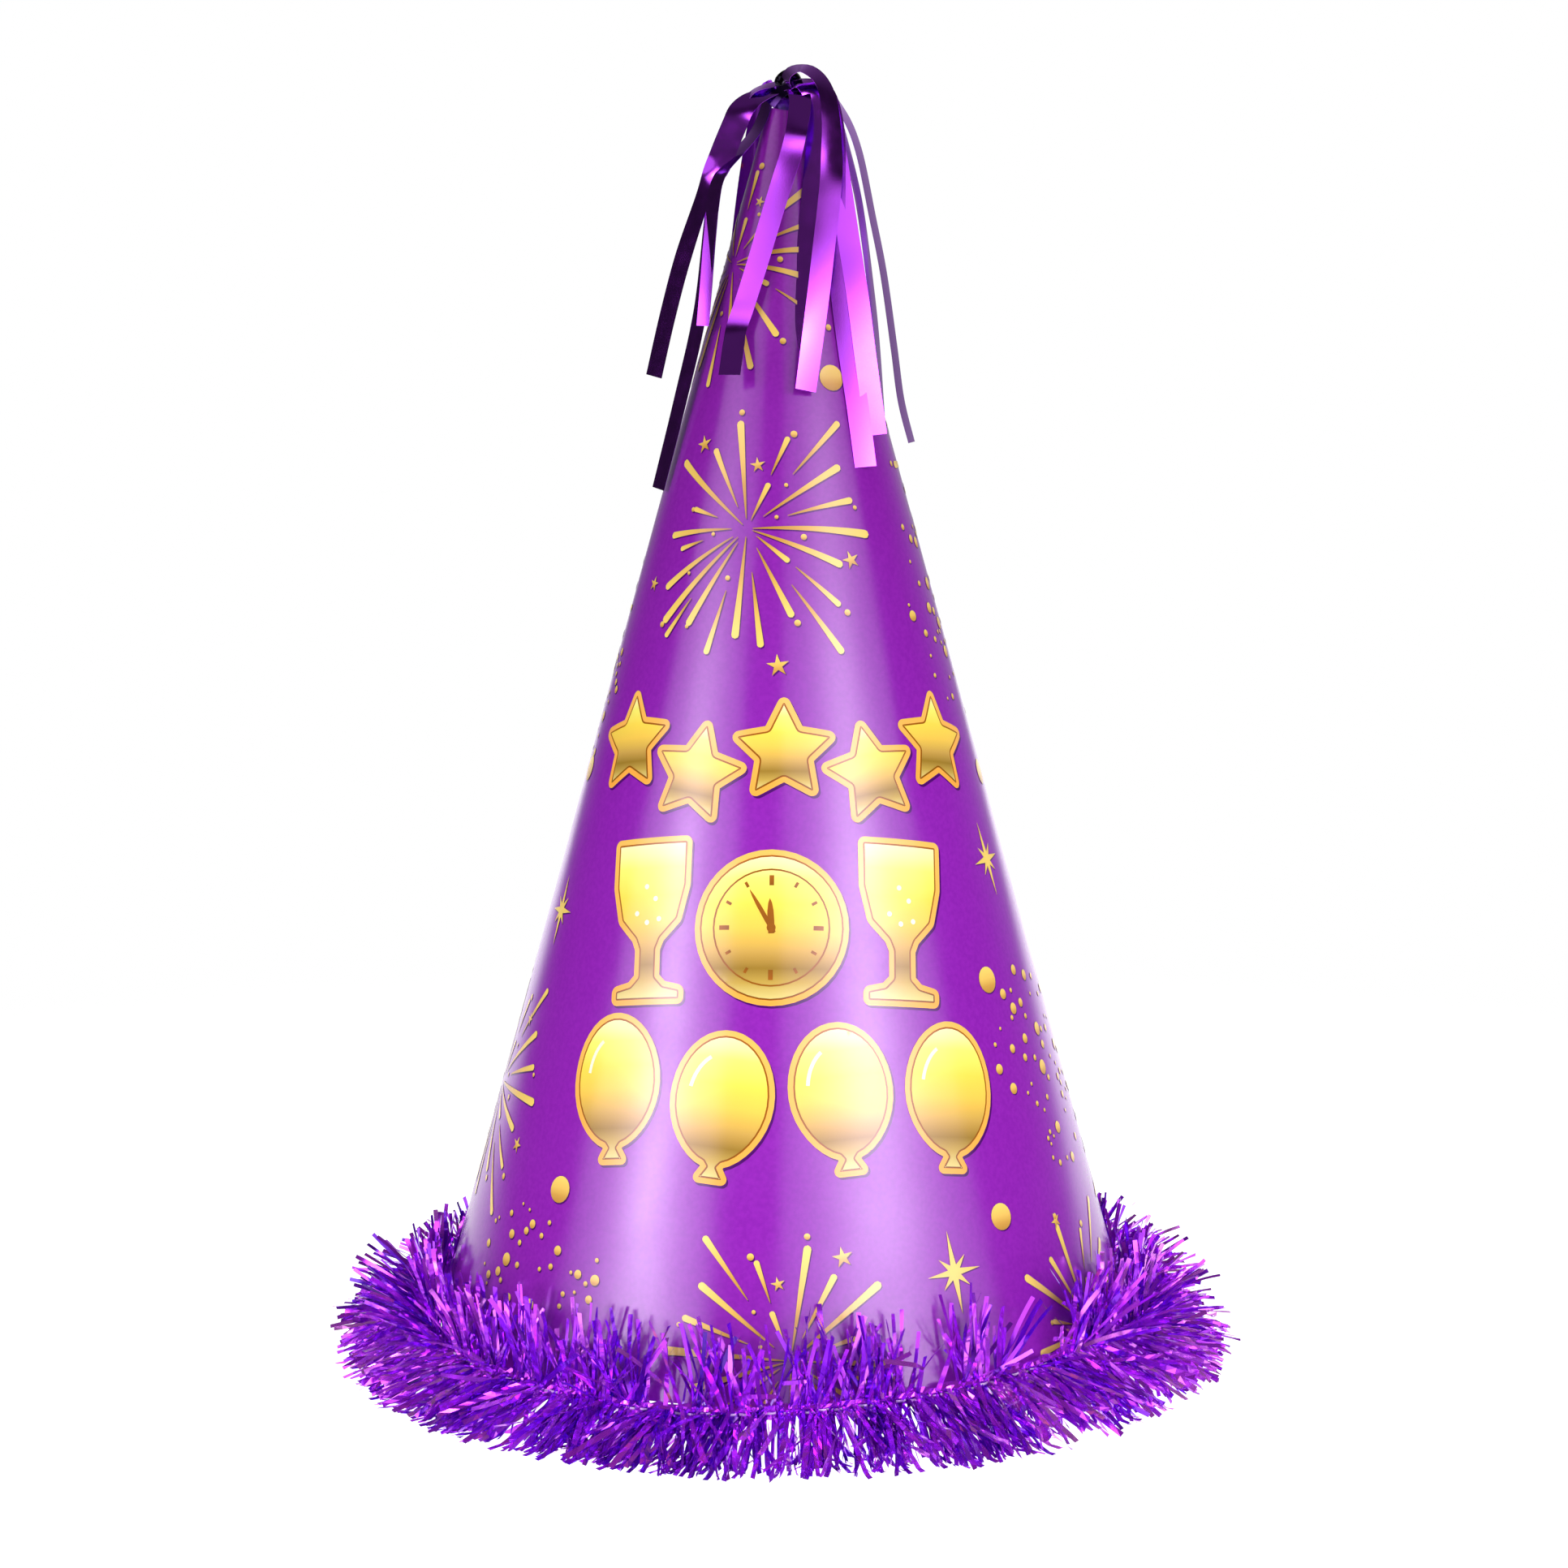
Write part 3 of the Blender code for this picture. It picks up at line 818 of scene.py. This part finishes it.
def strands(name, mat, row, seed, nodes, flat_facets):
    """A row of tinsel strands, drawn by chance in tufts that lean alike."""
    chance = np.random.default_rng(seed)
    azimuths = np.sort(chance.uniform(-pi, pi, row.count))
    if row.cover is not None:
        keep = chance.uniform(0, 1, row.count) < np.array([row.cover(a) for a in azimuths])
        azimuths = azimuths[keep]
    count = len(azimuths)
    tuft = (azimuths + pi) / TURN * TUFTS + chance.normal(0, 0.3, count)
    tuft = (tuft % TUFTS).astype(int)
    share = 0.5 * chance.uniform(0, 1, TUFTS)[tuft] + 0.5 * chance.uniform(0, 1, count)
    rises = np.radians(mix(row.rise, share))
    leans = np.radians(chance.normal(0, row.spread * 0.4, TUFTS)[tuft]
                       + chance.normal(0, row.spread * 0.9, count))
    lengths = MM * mix(row.length, chance.uniform(0, 1, count) ** 0.8)
    forward = np.cos(azimuths)
    lengths *= 0.97 + np.where(forward > 0, 0.21, 0.03) * forward
    stray = chance.uniform(0, 1, count) < STRAY_SHARE
    leans = np.where(stray, 2.2 * leans, leans)
    lengths = np.where(stray, 1.08 * lengths, lengths)
    droops = np.radians(chance.normal(8, 9, count))
    sways = np.radians(chance.normal(0, 10, count))
    spins = chance.uniform(0, TURN, count)
    twists = chance.normal(0, 0.9, count)
    widths = row.width * MM * chance.uniform(0.72, 1.12, count)
    kinked = chance.uniform(0, 1, count) < KINKED_SHARE
    kink_steps = np.where(kinked, chance.integers(2, 8, count), STRAND_STEPS)
    kink_turns = np.radians(chance.normal(0, 48, count))
    crush = np.radians(chance.normal(0, row.crush, (count, STRAND_STEPS + 1)))
    roots = chance.normal(0, 0.55, (count, 2)) * MM
    tone = 0.35 * chance.uniform(0, 1, TUFTS)[tuft] + 0.65 * chance.uniform(0, 1, count)
    # painted light: strands on the right, towards the key light, take a lighter shade of the dye
    painted_light_right = 0.12 * np.maximum(np.sin(azimuths), 0)
    shades = mix(row.dye, tone) + painted_light_right
    paths = zip(rises, droops, leans, sways, lengths, kink_steps, kink_turns)
    verts, faces = [], []
    for n, (azimuth, traits) in enumerate(zip(azimuths, paths)):
        out = np.array((sin(azimuth), -cos(azimuth), 0.0))
        side = np.array((cos(azimuth), sin(azimuth), 0.0))
        start = out * (CORE_RADIUS + roots[n, 0]) + UP * (core_height(azimuth) + roots[n, 1])
        faces += grid(STRAND_STEPS, 1, len(verts))
        for k, (point, heading) in enumerate(strand_path(out, side, start, *traits)):
            across = np.cross(heading, UP)
            across /= max(np.linalg.norm(across), 1e-6)
            over = np.cross(across, heading)
            turn = spins[n] + twists[n] * k / STRAND_STEPS + crush[n, k]
            wide = (across * cos(turn) + over * sin(turn)) * widths[n] / 2
            if point[2] - abs(wide[2]) < EDGE_GAP:
                wide[2] *= max(point[2] - EDGE_GAP, 0) / abs(wide[2])
            verts += [point - wide, point + wide]
    obj = make_mesh(name, verts, faces, [mat], smooth_shade=not flat_facets)
    point_attribute(obj, "shade", np.repeat(np.clip(shades, 0, 1), 2 * (STRAND_STEPS + 1)))
    settle(obj, "tinsel", *nodes)


def fringe_nodes(row):
    return sorted(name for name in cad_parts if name.startswith(f"fringe_{row}_"))


def upright_cover(azimuth):
    """The strands that lean on the card are thin in places on the hat's front."""
    degrees = math.degrees(azimuth)
    gaps = ((-17, 4, 0.8), (-10, 3, 0.35), (-1.5, 5, 0.45), (22.8, 3.6, 0.95), (42, 7.5, 1.0))
    thin = max(depth * math.exp(-((degrees - at) / width) ** 4) for at, width, depth in gaps)
    sides = smooth((abs(degrees) - 50) / 25)
    return 0.92 * (1 - thin * (1 - sides))


def flared_cover(azimuth):
    """Strands stand straight out at the sides and the back, and are parted at the front."""
    return 0.07 + 0.93 * smooth((abs(math.degrees(azimuth)) - 40) / 24)


def make_garland():
    film = metal_film("tinsel_film", TINSEL_DYE, 0.11, 0.2, 2400, 0.05 * MM, Metallic=0.75,
                      Coat_Weight=0.6)
    lower = Row(2750, 1.3, (-42, 2), (16, 25), 15, 13, (0.08, 1.0))
    flared = Row(760, 1.0, (-6, 56), (12, 22.5), 16, 5, (0.0, 0.95), flared_cover)
    upright = Row(1800, 1.15, (62, 114), (8, 21), 17, 5, (0.0, 0.95), upright_cover)
    strands("tinsel_lower", film, lower, 11, fringe_nodes("lower"), True)
    strands("tinsel_flared", film, flared, 12, fringe_nodes("flared"), False)
    strands("tinsel_upright", film, upright, 13, fringe_nodes("upright"), False)
    make_core(film)
    make_stitches()


def make_core(film):
    """The sewn middle of the garland: a crushed ring of pressed film."""
    steps = 560
    # its section, outwards and up from its middle, in millimetres
    profile = [(-0.6, -1.7), (0.5, -1.4), (0.9, -0.6), (0.4, 0.0), (0.9, 0.6), (0.5, 1.4),
               (-0.6, 1.7)]
    verts = []
    for azimuth in turns(steps):
        for k, (x, z) in enumerate(profile):
            crush = 0.75 * noise.noise(Vector((azimuth * 34, k * 1.3, 0)))
            verts.append(polar(CORE_RADIUS + (x + crush) * MM, azimuth,
                               core_height(azimuth) + z * (1 + crush) * MM))
    faces = grid(steps, len(profile), ring=True, tube=True, flip=True)
    core = make_mesh("garland_core", verts, faces, [film], smooth_shade=False)
    point_attribute(core, "shade", 0.6)
    settle(core, "tinsel", "garland_band")


def make_stitches():
    """A line of short threads that show here and there between the strands."""
    thread = soft_solid("stitch_thread", srgb(214, 160, 240), srgb(250, 226, 255), 1500, 0.5)
    stitches, rings, sides, radius = 190, 7, 6, 0.28 * MM
    half = TURN / stitches * 0.38
    verts, faces = [], []
    for i in range(stitches):
        if noise.noise(Vector((i * 0.7, 0, 3))) > 0.12:
            continue
        base = len(verts)
        for k in range(rings):
            t = k / (rings - 1)
            azimuth = TURN * i / stitches + half * (2 * t - 1)
            out = CORE_RADIUS + 1.0 * MM + 0.35 * MM * sin(pi * t)
            height = core_height(azimuth) + 0.2 * MM * sin(i * 2.4)
            verts += [polar(out + radius * cos(turn), azimuth, height + radius * sin(turn))
                      for turn in turns(sides)]
        faces += grid(rings - 1, sides, base, tube=True, flip=True)
        faces.append(tuple(range(base, base + sides)))
        faces.append(tuple(reversed(range(len(verts) - sides, len(verts)))))
    settle(make_mesh("garland_stitches", verts, faces, [thread]), "thread", "garland_thread")


# ------------------------------ the tuft
# Points of each strip, from its root to its cut end: x, y and z in millimetres, then the
# azimuth and, where it isn't 0, the elevation that its face looks to, in degrees.
STREAMERS = {
    "left_arch": [
        (-2.2, -2.4, 320.4, -30, 50), (-5.0, -2.8, 318.9, -25, 56), (-8.2, -3.4, 317.4, -14, 44),
        (-10.8, -4.2, 314.8, -7, 30), (-12.2, -4.8, 311.6, -5, 20), (-14.3, -5.2, 306.6, -5, 10),
        (-16.4, -5.2, 301.4, -8, 5), (-19.6, -4.4, 295.0, -52), (-25.2, -3.2, 279.0, -50),
        (-29.2, -2.4, 264.4, -50), (-32.8, -2.0, 249.0, -50)],
    "left_edge": [
        (-3.2, -0.2, 321.0, -60, 40), (-4.6, -1.0, 315.4, -58, 30), (-7.2, -2.8, 309.6, -56, 20),
        (-12.0, -5.2, 303.8, -56), (-16.2, -7.6, 298.2, -55), (-18.0, -8.4, 289.6, -52),
        (-20.9, -8.8, 265.4, -52), (-26.0, -8.8, 243.0, -53), (-31.6, -8.6, 221.0, -56)],
    "left_inner": [
        (-2.2, -1.5, 321.5, -60, 40), (-8.5, -1.4, 319.0, -60, 40), (-14.0, -2.6, 309.0, -30, 20),
        (-17.0, -5.0, 297.0, -14), (-18.4, -8.4, 284.0, -13), (-19.4, -11.2, 271.0, -13),
        (-20.2, -12.6, 261.6, -14)],
    "front_left": [
        (0.4, -3.0, 321.4, 5, 40), (2.8, -4.6, 320.6, 5, 50), (4.0, -7.4, 317.6, 0, 50),
        (3.6, -10.6, 312.6, -8, 40), (2.9, -12.4, 308.6, -14, 24), (1.7, -13.0, 303.6, -14),
        (-0.6, -13.8, 296.5, -16), (-3.8, -15.4, 286.1, -18), (-6.9, -17.0, 275.8, -20),
        (-9.9, -18.4, 266.4, -21), (-11.8, -19.4, 260.8, -20), (-12.4, -21.8, 257.0, -12),
        (-13.4, -26.4, 249.6, -12)],
    "front_under": [
        (1.4, -3.2, 321.0, 0, 50), (4.6, -4.8, 321.4, 2, 60), (7.8, -6.4, 318.0, -7, 20),
        (8.4, -7.2, 310.0, -7), (7.6, -8.8, 300.0, -7), (6.6, -11.4, 289.0, -6),
        (5.6, -14.8, 277.0, -7), (4.8, -19.0, 262.0, -6), (3.7, -22.8, 244.9, 0)],
    "front_loop": [
        (0.6, -3.3, 320.6, -50, 20), (0.4, -4.2, 322.6, -52, 32), (1.4, -4.8, 324.3, -36, 54),
        (4.0, -5.0, 325.2, 0, 66), (6.9, -5.4, 324.3, 30, 50), (9.4, -6.2, 321.8, 42, 35),
        (11.0, -7.8, 317.6, 40, 26), (11.7, -10.4, 311.2, 30), (11.8, -13.0, 304.9, 18),
        (11.7, -15.2, 298.6, 1), (11.0, -17.2, 291.0, -1), (9.9, -19.4, 281.5, -1),
        (8.6, -21.6, 270.5, 4), (6.9, -23.8, 257.5, 15), (5.3, -25.7, 245.8, 22)],
    "front_right": [
        (2.6, -1.6, 321.4, 0, 50), (9.2, -4.2, 319.8, -8, 40), (12.2, -6.0, 311.0, -6),
        (12.6, -8.0, 298.0, -3), (12.6, -10.4, 286.0, -1), (14.0, -13.0, 272.6, 0),
        (15.8, -15.9, 258.1, 2), (18.1, -19.2, 242.6, 9), (20.2, -22.4, 227.0, 14)],
    "right_inner": [
        (2.8, -0.2, 321.6, 0, 50), (8.8, -2.6, 319.4, -8, 40), (11.8, -5.0, 310.0, -4),
        (14.0, -8.2, 296.5, 4), (16.2, -11.4, 282.0, 5), (18.3, -14.4, 268.5, 8),
        (20.3, -17.0, 253.0, 12), (22.8, -19.6, 234.8, 10)],
    "right_edge": [
        (2.6, 1.4, 321.2, 72, 40), (8.5, 0.4, 320.6, 75, 20), (12.8, -0.6, 314.6, 72),
        (15.4, -1.2, 306.6, 70), (18.8, -2.0, 292.3, 70), (21.6, -2.4, 272.6, 71),
        (23.4, -3.0, 256.1, 72), (25.4, -3.8, 228.6, 74)],
    "right_arch": [
        (2.2, 2.2, 321.4, 80, 50), (9.4, 2.8, 321.4, 76, 30), (15.0, 2.6, 314.4, 71),
        (18.8, 2.2, 305.2, 70), (22.2, 1.6, 289.2, 70), (25.1, 1.0, 274.7, 70),
        (27.8, 0.4, 256.1, 70), (29.6, 0.0, 243.0, 70), (32.3, -0.4, 232.4, 71)],
    "back_right": [
        (1.2, 2.8, 321.0, 135), (5.0, 6.0, 319.0, 138), (9.0, 8.4, 306.0, 136),
        (12.6, 11.4, 290.0, 134), (16.8, 15.2, 270.0, 134), (20.6, 19.6, 248.0, 132),
        (22.6, 22.2, 235.0, 130)],
    "back": [
        (-0.4, 2.9, 321.2, 180), (0.6, 7.4, 320.6, 178), (1.4, 11.0, 308.0, 175),
        (2.0, 14.6, 292.0, 174), (3.0, 20.0, 270.0, 172), (3.2, 26.4, 242.2, 170)],
    "back_left": [
        (-1.8, 2.4, 320.8, -140), (-5.4, 5.4, 318.4, -142), (-8.2, 8.6, 305.0, -144),
        (-10.6, 12.2, 288.0, -146), (-13.2, 17.6, 264.0, -148), (-16.2, 24.4, 232.0, -150)],
}
STREAMER_WIDTH = 5.5 * MM
STREAMER_WIDTHS = {"left_inner": 3.2 * MM, "left_arch": 6.4 * MM}


def spline(points, samples):
    """A smooth path through rows of numbers, evenly spaced along its length."""
    rows = np.array([points[0], *points, points[-1]], float)
    fine = []
    for i in range(len(points) - 1):
        p0, p1, p2, p3 = rows[i:i + 4]
        for k in range(24):
            t = k / 24
            fine.append(0.5 * (2 * p1 + (p2 - p0) * t + (2 * p0 - 5 * p1 + 4 * p2 - p3) * t ** 2
                               + (3 * p1 - p0 - 3 * p2 + p3) * t ** 3))
    fine = np.array([*fine, rows[-1]])
    gaps = np.linalg.norm(np.diff(fine[:, :3], axis=0), axis=1)
    travelled = np.concatenate(([0], np.cumsum(gaps)))
    places = np.linspace(0, travelled[-1], samples)
    return np.stack([np.interp(places, travelled, fine[:, c]) for c in range(fine.shape[1])], 1)


def unit(rows):
    """Each row's direction."""
    return rows / np.linalg.norm(rows, axis=1)[:, None]


def make_ribbon(name, points, film, shade, width):
    """A thin film strip along a path, turned to face the given azimuth and elevation."""
    samples, across = 90, 6
    path = spline([(*point, 0)[:5] for point in points], samples)
    centre = path[:, :3] * MM
    facing, tilt = np.radians(path[:, 3]), np.radians(path[:, 4])
    along = unit(np.gradient(centre, axis=0))
    look = np.stack([np.sin(facing) * np.cos(tilt), -np.cos(facing) * np.cos(tilt),
                     np.sin(tilt)], 1)
    wide = unit(np.cross(along, look))
    normal = np.cross(wide, along)
    verts = []
    for k in range(samples):
        for c in range(across + 1):
            u = 2 * c / across - 1
            cup = 0.03 * MM * (1 - u * u)
            verts.append(centre[k] + wide[k] * u * width / 2 + normal[k] * cup)
    obj = make_mesh(name, verts, grid(samples - 1, across), [film])
    point_attribute(obj, "shade", shade)
    thicken(obj, 0.05 * MM, offset=0.0)
    obj.modifiers.new("crisp_edges", "EDGE_SPLIT").split_angle = radians(40)
    return obj


def make_tuft():
    film = metal_film("streamer_film", STREAMER_DYE, 0.13, 0.19)
    for number, (side, points) in enumerate(STREAMERS.items()):
        name = f"streamer_{side}"
        shade = 0.4 + 0.6 * (number * 0.37 % 1)
        width = STREAMER_WIDTHS.get(side, STREAMER_WIDTH)
        ribbon = make_ribbon(f"{name}_film", points, film, shade, width)
        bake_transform(ribbon)
        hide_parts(name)
    # the knot's film is dyed near black: painted shade
    make_knot(metal_film("knot_film_painted_shade", KNOT_PAINTED_SHADE_DYE, 0.16, 0.24, Coat_Weight=0.3))


def make_knot(film):
    """The knot: a film core with strips folded over it, in near-black film as painted shade."""
    middle = (KNOT_LOW + KNOT_HIGH) / 2 + Vector((1.1 * MM, 0, 0.7 * MM))
    half = (KNOT_HIGH - KNOT_LOW) * 0.58
    verts = []
    rings, sides = 14, 28
    for i in range(rings + 1):
        down = pi * i / rings
        for turn in turns(sides):
            out = sin(down) * (1 + 0.13 * sin(5 * turn + 3 * down) * sin(down))
            verts.append(middle + Vector((half.x * cos(turn) * out, half.y * sin(turn) * out,
                                          half.z * cos(down))))
    faces = grid(rings, sides, tube=True, flip=True)
    core = make_mesh("knot_core", verts, faces, [film])
    point_attribute(core, "shade", 0.0)
    settle(core, "purple_film", "tuft_knot")
    wraps = {                           # tilt and swing in degrees, radius and width in mm
        "knot_wrap_over": (-18, 12, 2.3, 3.6),
        "knot_wrap_round": (70, -24, 2.3, 3.0),
        "knot_wrap_low": (82, 30, 2.5, 2.4),
    }
    for name, (tilt, swing, radius, width) in wraps.items():
        steps, across = 64, 4
        pose = (Matrix.Rotation(radians(swing), 3, "Z") @ Matrix.Rotation(radians(tilt), 3, "X"))
        verts = []
        for t in turns(steps):
            r = radius * MM * (1 + 0.10 * sin(3 * t + tilt))
            for c in range(across + 1):
                u = (2 * c / across - 1) * width / 2 * MM
                verts.append(middle + pose @ Vector((r * cos(t), u, r * sin(t) * 1.02)))
        wrap = make_mesh(name, verts, grid(steps, across, ring=True), [film])
        point_attribute(wrap, "shade", 0.1)
        thicken(wrap, 0.08 * MM)
        settle(wrap, "purple_film")
    flap = [(4.8, -5.0, 321.2, 5, 40), (1.6, -5.2, 320.4, 0, 40), (-1.4, -5.0, 318.8, -10, 34),
            (-3.6, -4.6, 316.4, -20, 20)]
    settle(make_ribbon("knot_flap", flap, film, 0.3, 3.4 * MM), "purple_film")


# ------------------------------ inside the tip and under the lap
def dress_cad_nodes():
    """The gathered film, its tie and its glue, inside the tip, keep their CAD shapes."""
    film = soft_solid("stem_film", srgb(60, 10, 120), srgb(110, 30, 190), 900, 0.3)
    glue = soft_solid("hot_melt", srgb(214, 206, 186), srgb(236, 230, 214), 300, 0.4)
    thread = soft_solid("tie_thread", srgb(190, 150, 220), srgb(226, 200, 244), 2200, 0.8)
    for name, mat in (("tuft_stem", film), ("tip_glue_plug", glue), ("tuft_tie", thread)):
        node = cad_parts[name]
        node.data.materials.clear()
        node.data.materials.append(mat)


def make_lap_adhesive():
    """The strip of glue between the two layers of the card's lap."""
    glue = soft_solid("lap_adhesive", srgb(222, 216, 196), srgb(238, 232, 216), 400, 0.6)
    verts = []
    steps = 40
    low, high = TIP_SLANT + 22 * MM, RIM_SLANT - 3 * MM
    for i in range(steps + 1):
        slant = low + (high - low) * i / steps
        half = min(5 * MM / (slant * sin(HALF_ANGLE)), radians(17))
        verts += [card_point(pi + half * (k - 2) / 2, slant, 0.12 * MM) for k in range(5)]
    lap = make_mesh("lap_adhesive", verts, grid(steps, 4), [glue])
    settle(lap, "adhesive", "seam_adhesive")


# ------------------------------ studio
def make_floor():
    """White paper that glows like a lit sweep, and fades out away from the hat."""
    size = 3.0
    verts = [(-size, -size, 0), (size, -size, 0), (size, size, 0), (-size, size, 0)]
    shader = Shader("floor_paper", Roughness=0.9, Emission_Strength=1.2, Base_Color=grey(0.25),
                    Emission_Color=grey(1.0))
    distance = shader.node("VectorMath", {0: shader.place()}, operation="LENGTH")
    shader.set(Alpha=shader.map_range(distance.outputs["Value"], 0.16, 0.55, 1.0, 0.0,
                                      interpolation_type="SMOOTHSTEP"))
    make_mesh("floor", verts, [(0, 1, 2, 3)], [shader.material], smooth_shade=False)


def make_key_light():
    """A light that fills without showing in the glossy card and film."""
    light = bpy.data.lights.new("key", "AREA")
    light.size = 0.14
    light.energy = 1.15
    obj = add_object("key", light)
    azimuth, elevation, distance = radians(50), radians(34), 1.4
    toward = polar(cos(elevation), azimuth, sin(elevation))
    obj.location = Vector((0, 0, 0.1)) + toward * distance
    obj.rotation_mode = "QUATERNION"
    obj.rotation_quaternion = toward.to_track_quat("Z", "Y")
    obj.visible_camera = False
    obj.visible_glossy = False


class Sky(Nodes):
    """Light as a function of direction, in degrees of azimuth and elevation."""

    def __init__(self, tree):
        super().__init__(tree)
        split = self.node("SeparateXYZ", {"Vector": self.place("Generated")})
        x, y, z = (split.outputs[axis] for axis in "XYZ")
        self.azimuth = self.calc("DEGREES", self.calc("ARCTAN2", x, self.calc("MULTIPLY", y, -1)))
        self.elevation = self.calc("DEGREES", self.calc("ARCSINE", z))

    def calc(self, operation, first, *others):
        """One operation on two values, or on more from left to right."""
        for other in others or (None,):
            made = self.node("Math", {0: first, 1: other}, operation=operation)
            first = made.outputs["Value"]
        return first

    def rise(self, source, *ranges):
        return self.map_range(source, *ranges, interpolation_type="SMOOTHSTEP")

    def spot(self, azimuth, wide, elevation, tall, strength):
        """A round glow about a direction."""
        parts = []
        for source, middle, width in ((self.azimuth, azimuth, wide),
                                      (self.elevation, elevation, tall)):
            away = self.calc("DIVIDE", self.calc("SUBTRACT", source, middle), width)
            parts.append(self.calc("MULTIPLY", away, away))
        glow = self.calc("EXPONENT", self.calc("MULTIPLY", self.calc("ADD", *parts), -1))
        return self.calc("MULTIPLY", glow, strength)

    def softbox(self, left, right, low, high, *glows):
        """An even panel with soft edges, with its lamp's glow in it."""
        edges = self.calc("MULTIPLY", self.rise(self.azimuth, left - 3, left + 3),
                          self.rise(self.azimuth, right - 3, right + 3, 1, 0),
                          self.rise(self.elevation, low - 3, low + 3),
                          self.rise(self.elevation, high - 3, high + 3, 1, 0))
        return self.calc("MULTIPLY", edges, self.calc("ADD", *(self.spot(*g) for g in glows)))


def make_world():
    """Two softboxes on the photographer's side of a dark room, and a white wall behind."""
    world = bpy.data.worlds.new("studio")
    world.use_nodes = True
    sky = Sky(world.node_tree)
    left = sky.softbox(-84, -26, 4, 33, (-53, 10, 15.5, 4.4, 9.5), (-50, 24, 13.5, 9.5, 5.6),
                       (-55, 90, 20, 90, 1.0))
    right = sky.softbox(-1, 77, 4, 33, (38, 15, 19, 4.2, 8.6), (36, 28, 16, 10.5, 5.4),
                        (38, 90, 20, 90, 0.95))
    sides = sky.calc("ADD", sky.rise(sky.azimuth, 100, 168, 0, 0.66),
                     sky.rise(sky.azimuth, -172, -126, 0.44, 0))
    wall = sky.calc("MULTIPLY", sides, sky.rise(sky.elevation, 30, 58, 1, 0.12),
                    sky.rise(sky.elevation, 0, 24, 0.6, 1))
    between = sky.spot(-13, 14, 22, 22, 0.1)
    table = sky.rise(sky.elevation, -4, 0, 1.2, 0)
    ceiling = sky.rise(sky.elevation, 44, 62, 0.03, 0.11)
    room = sky.calc("ADD", left, right, wall, between, table, ceiling)
    # the camera itself sees plain white
    camera_ray = sky.node("LightPath").outputs["Is Camera Ray"]
    seen = sky.node("Mix", {"Factor": camera_ray, "A": room, "B": 1.0}, data_type="FLOAT")
    sky.feed(sky.tree.nodes["Background"], {"Strength": seen.outputs["Result"],
                                            "Color": grey(1.0)})
    bpy.context.scene.world = world


# The camera, from a fit to the photo: its distance from the axis and its drop below the
# apex, both in heights of the full cone, and how far it looks down.
CAMERA_DISTANCE = 2.777
CAMERA_DROP = 0.227
CAMERA_PITCH = radians(7.14)


def make_camera():
    """The photograph's viewpoint: level with the upper third, looking slightly down."""
    camera = bpy.data.cameras.new("camera")
    camera.lens = 80.9
    camera.sensor_width = 36.0
    obj = add_object("camera", camera)
    cone_height = APEX - RIM_HEIGHT
    obj.location = (0, -CAMERA_DISTANCE * cone_height, APEX - CAMERA_DROP * cone_height)
    obj.rotation_euler = (pi / 2 - CAMERA_PITCH, 0, 0)
    bpy.context.scene.camera = obj


def make_studio():
    bpy.context.scene.view_settings.view_transform = "Standard"
    make_camera()
    make_floor()
    make_world()
    make_key_light()


# ------------------------------ the hat
make_studio()
make_card(print_ground(), plain_board())
make_print()
make_garland()
make_tuft()
dress_cad_nodes()
make_lap_adhesive()
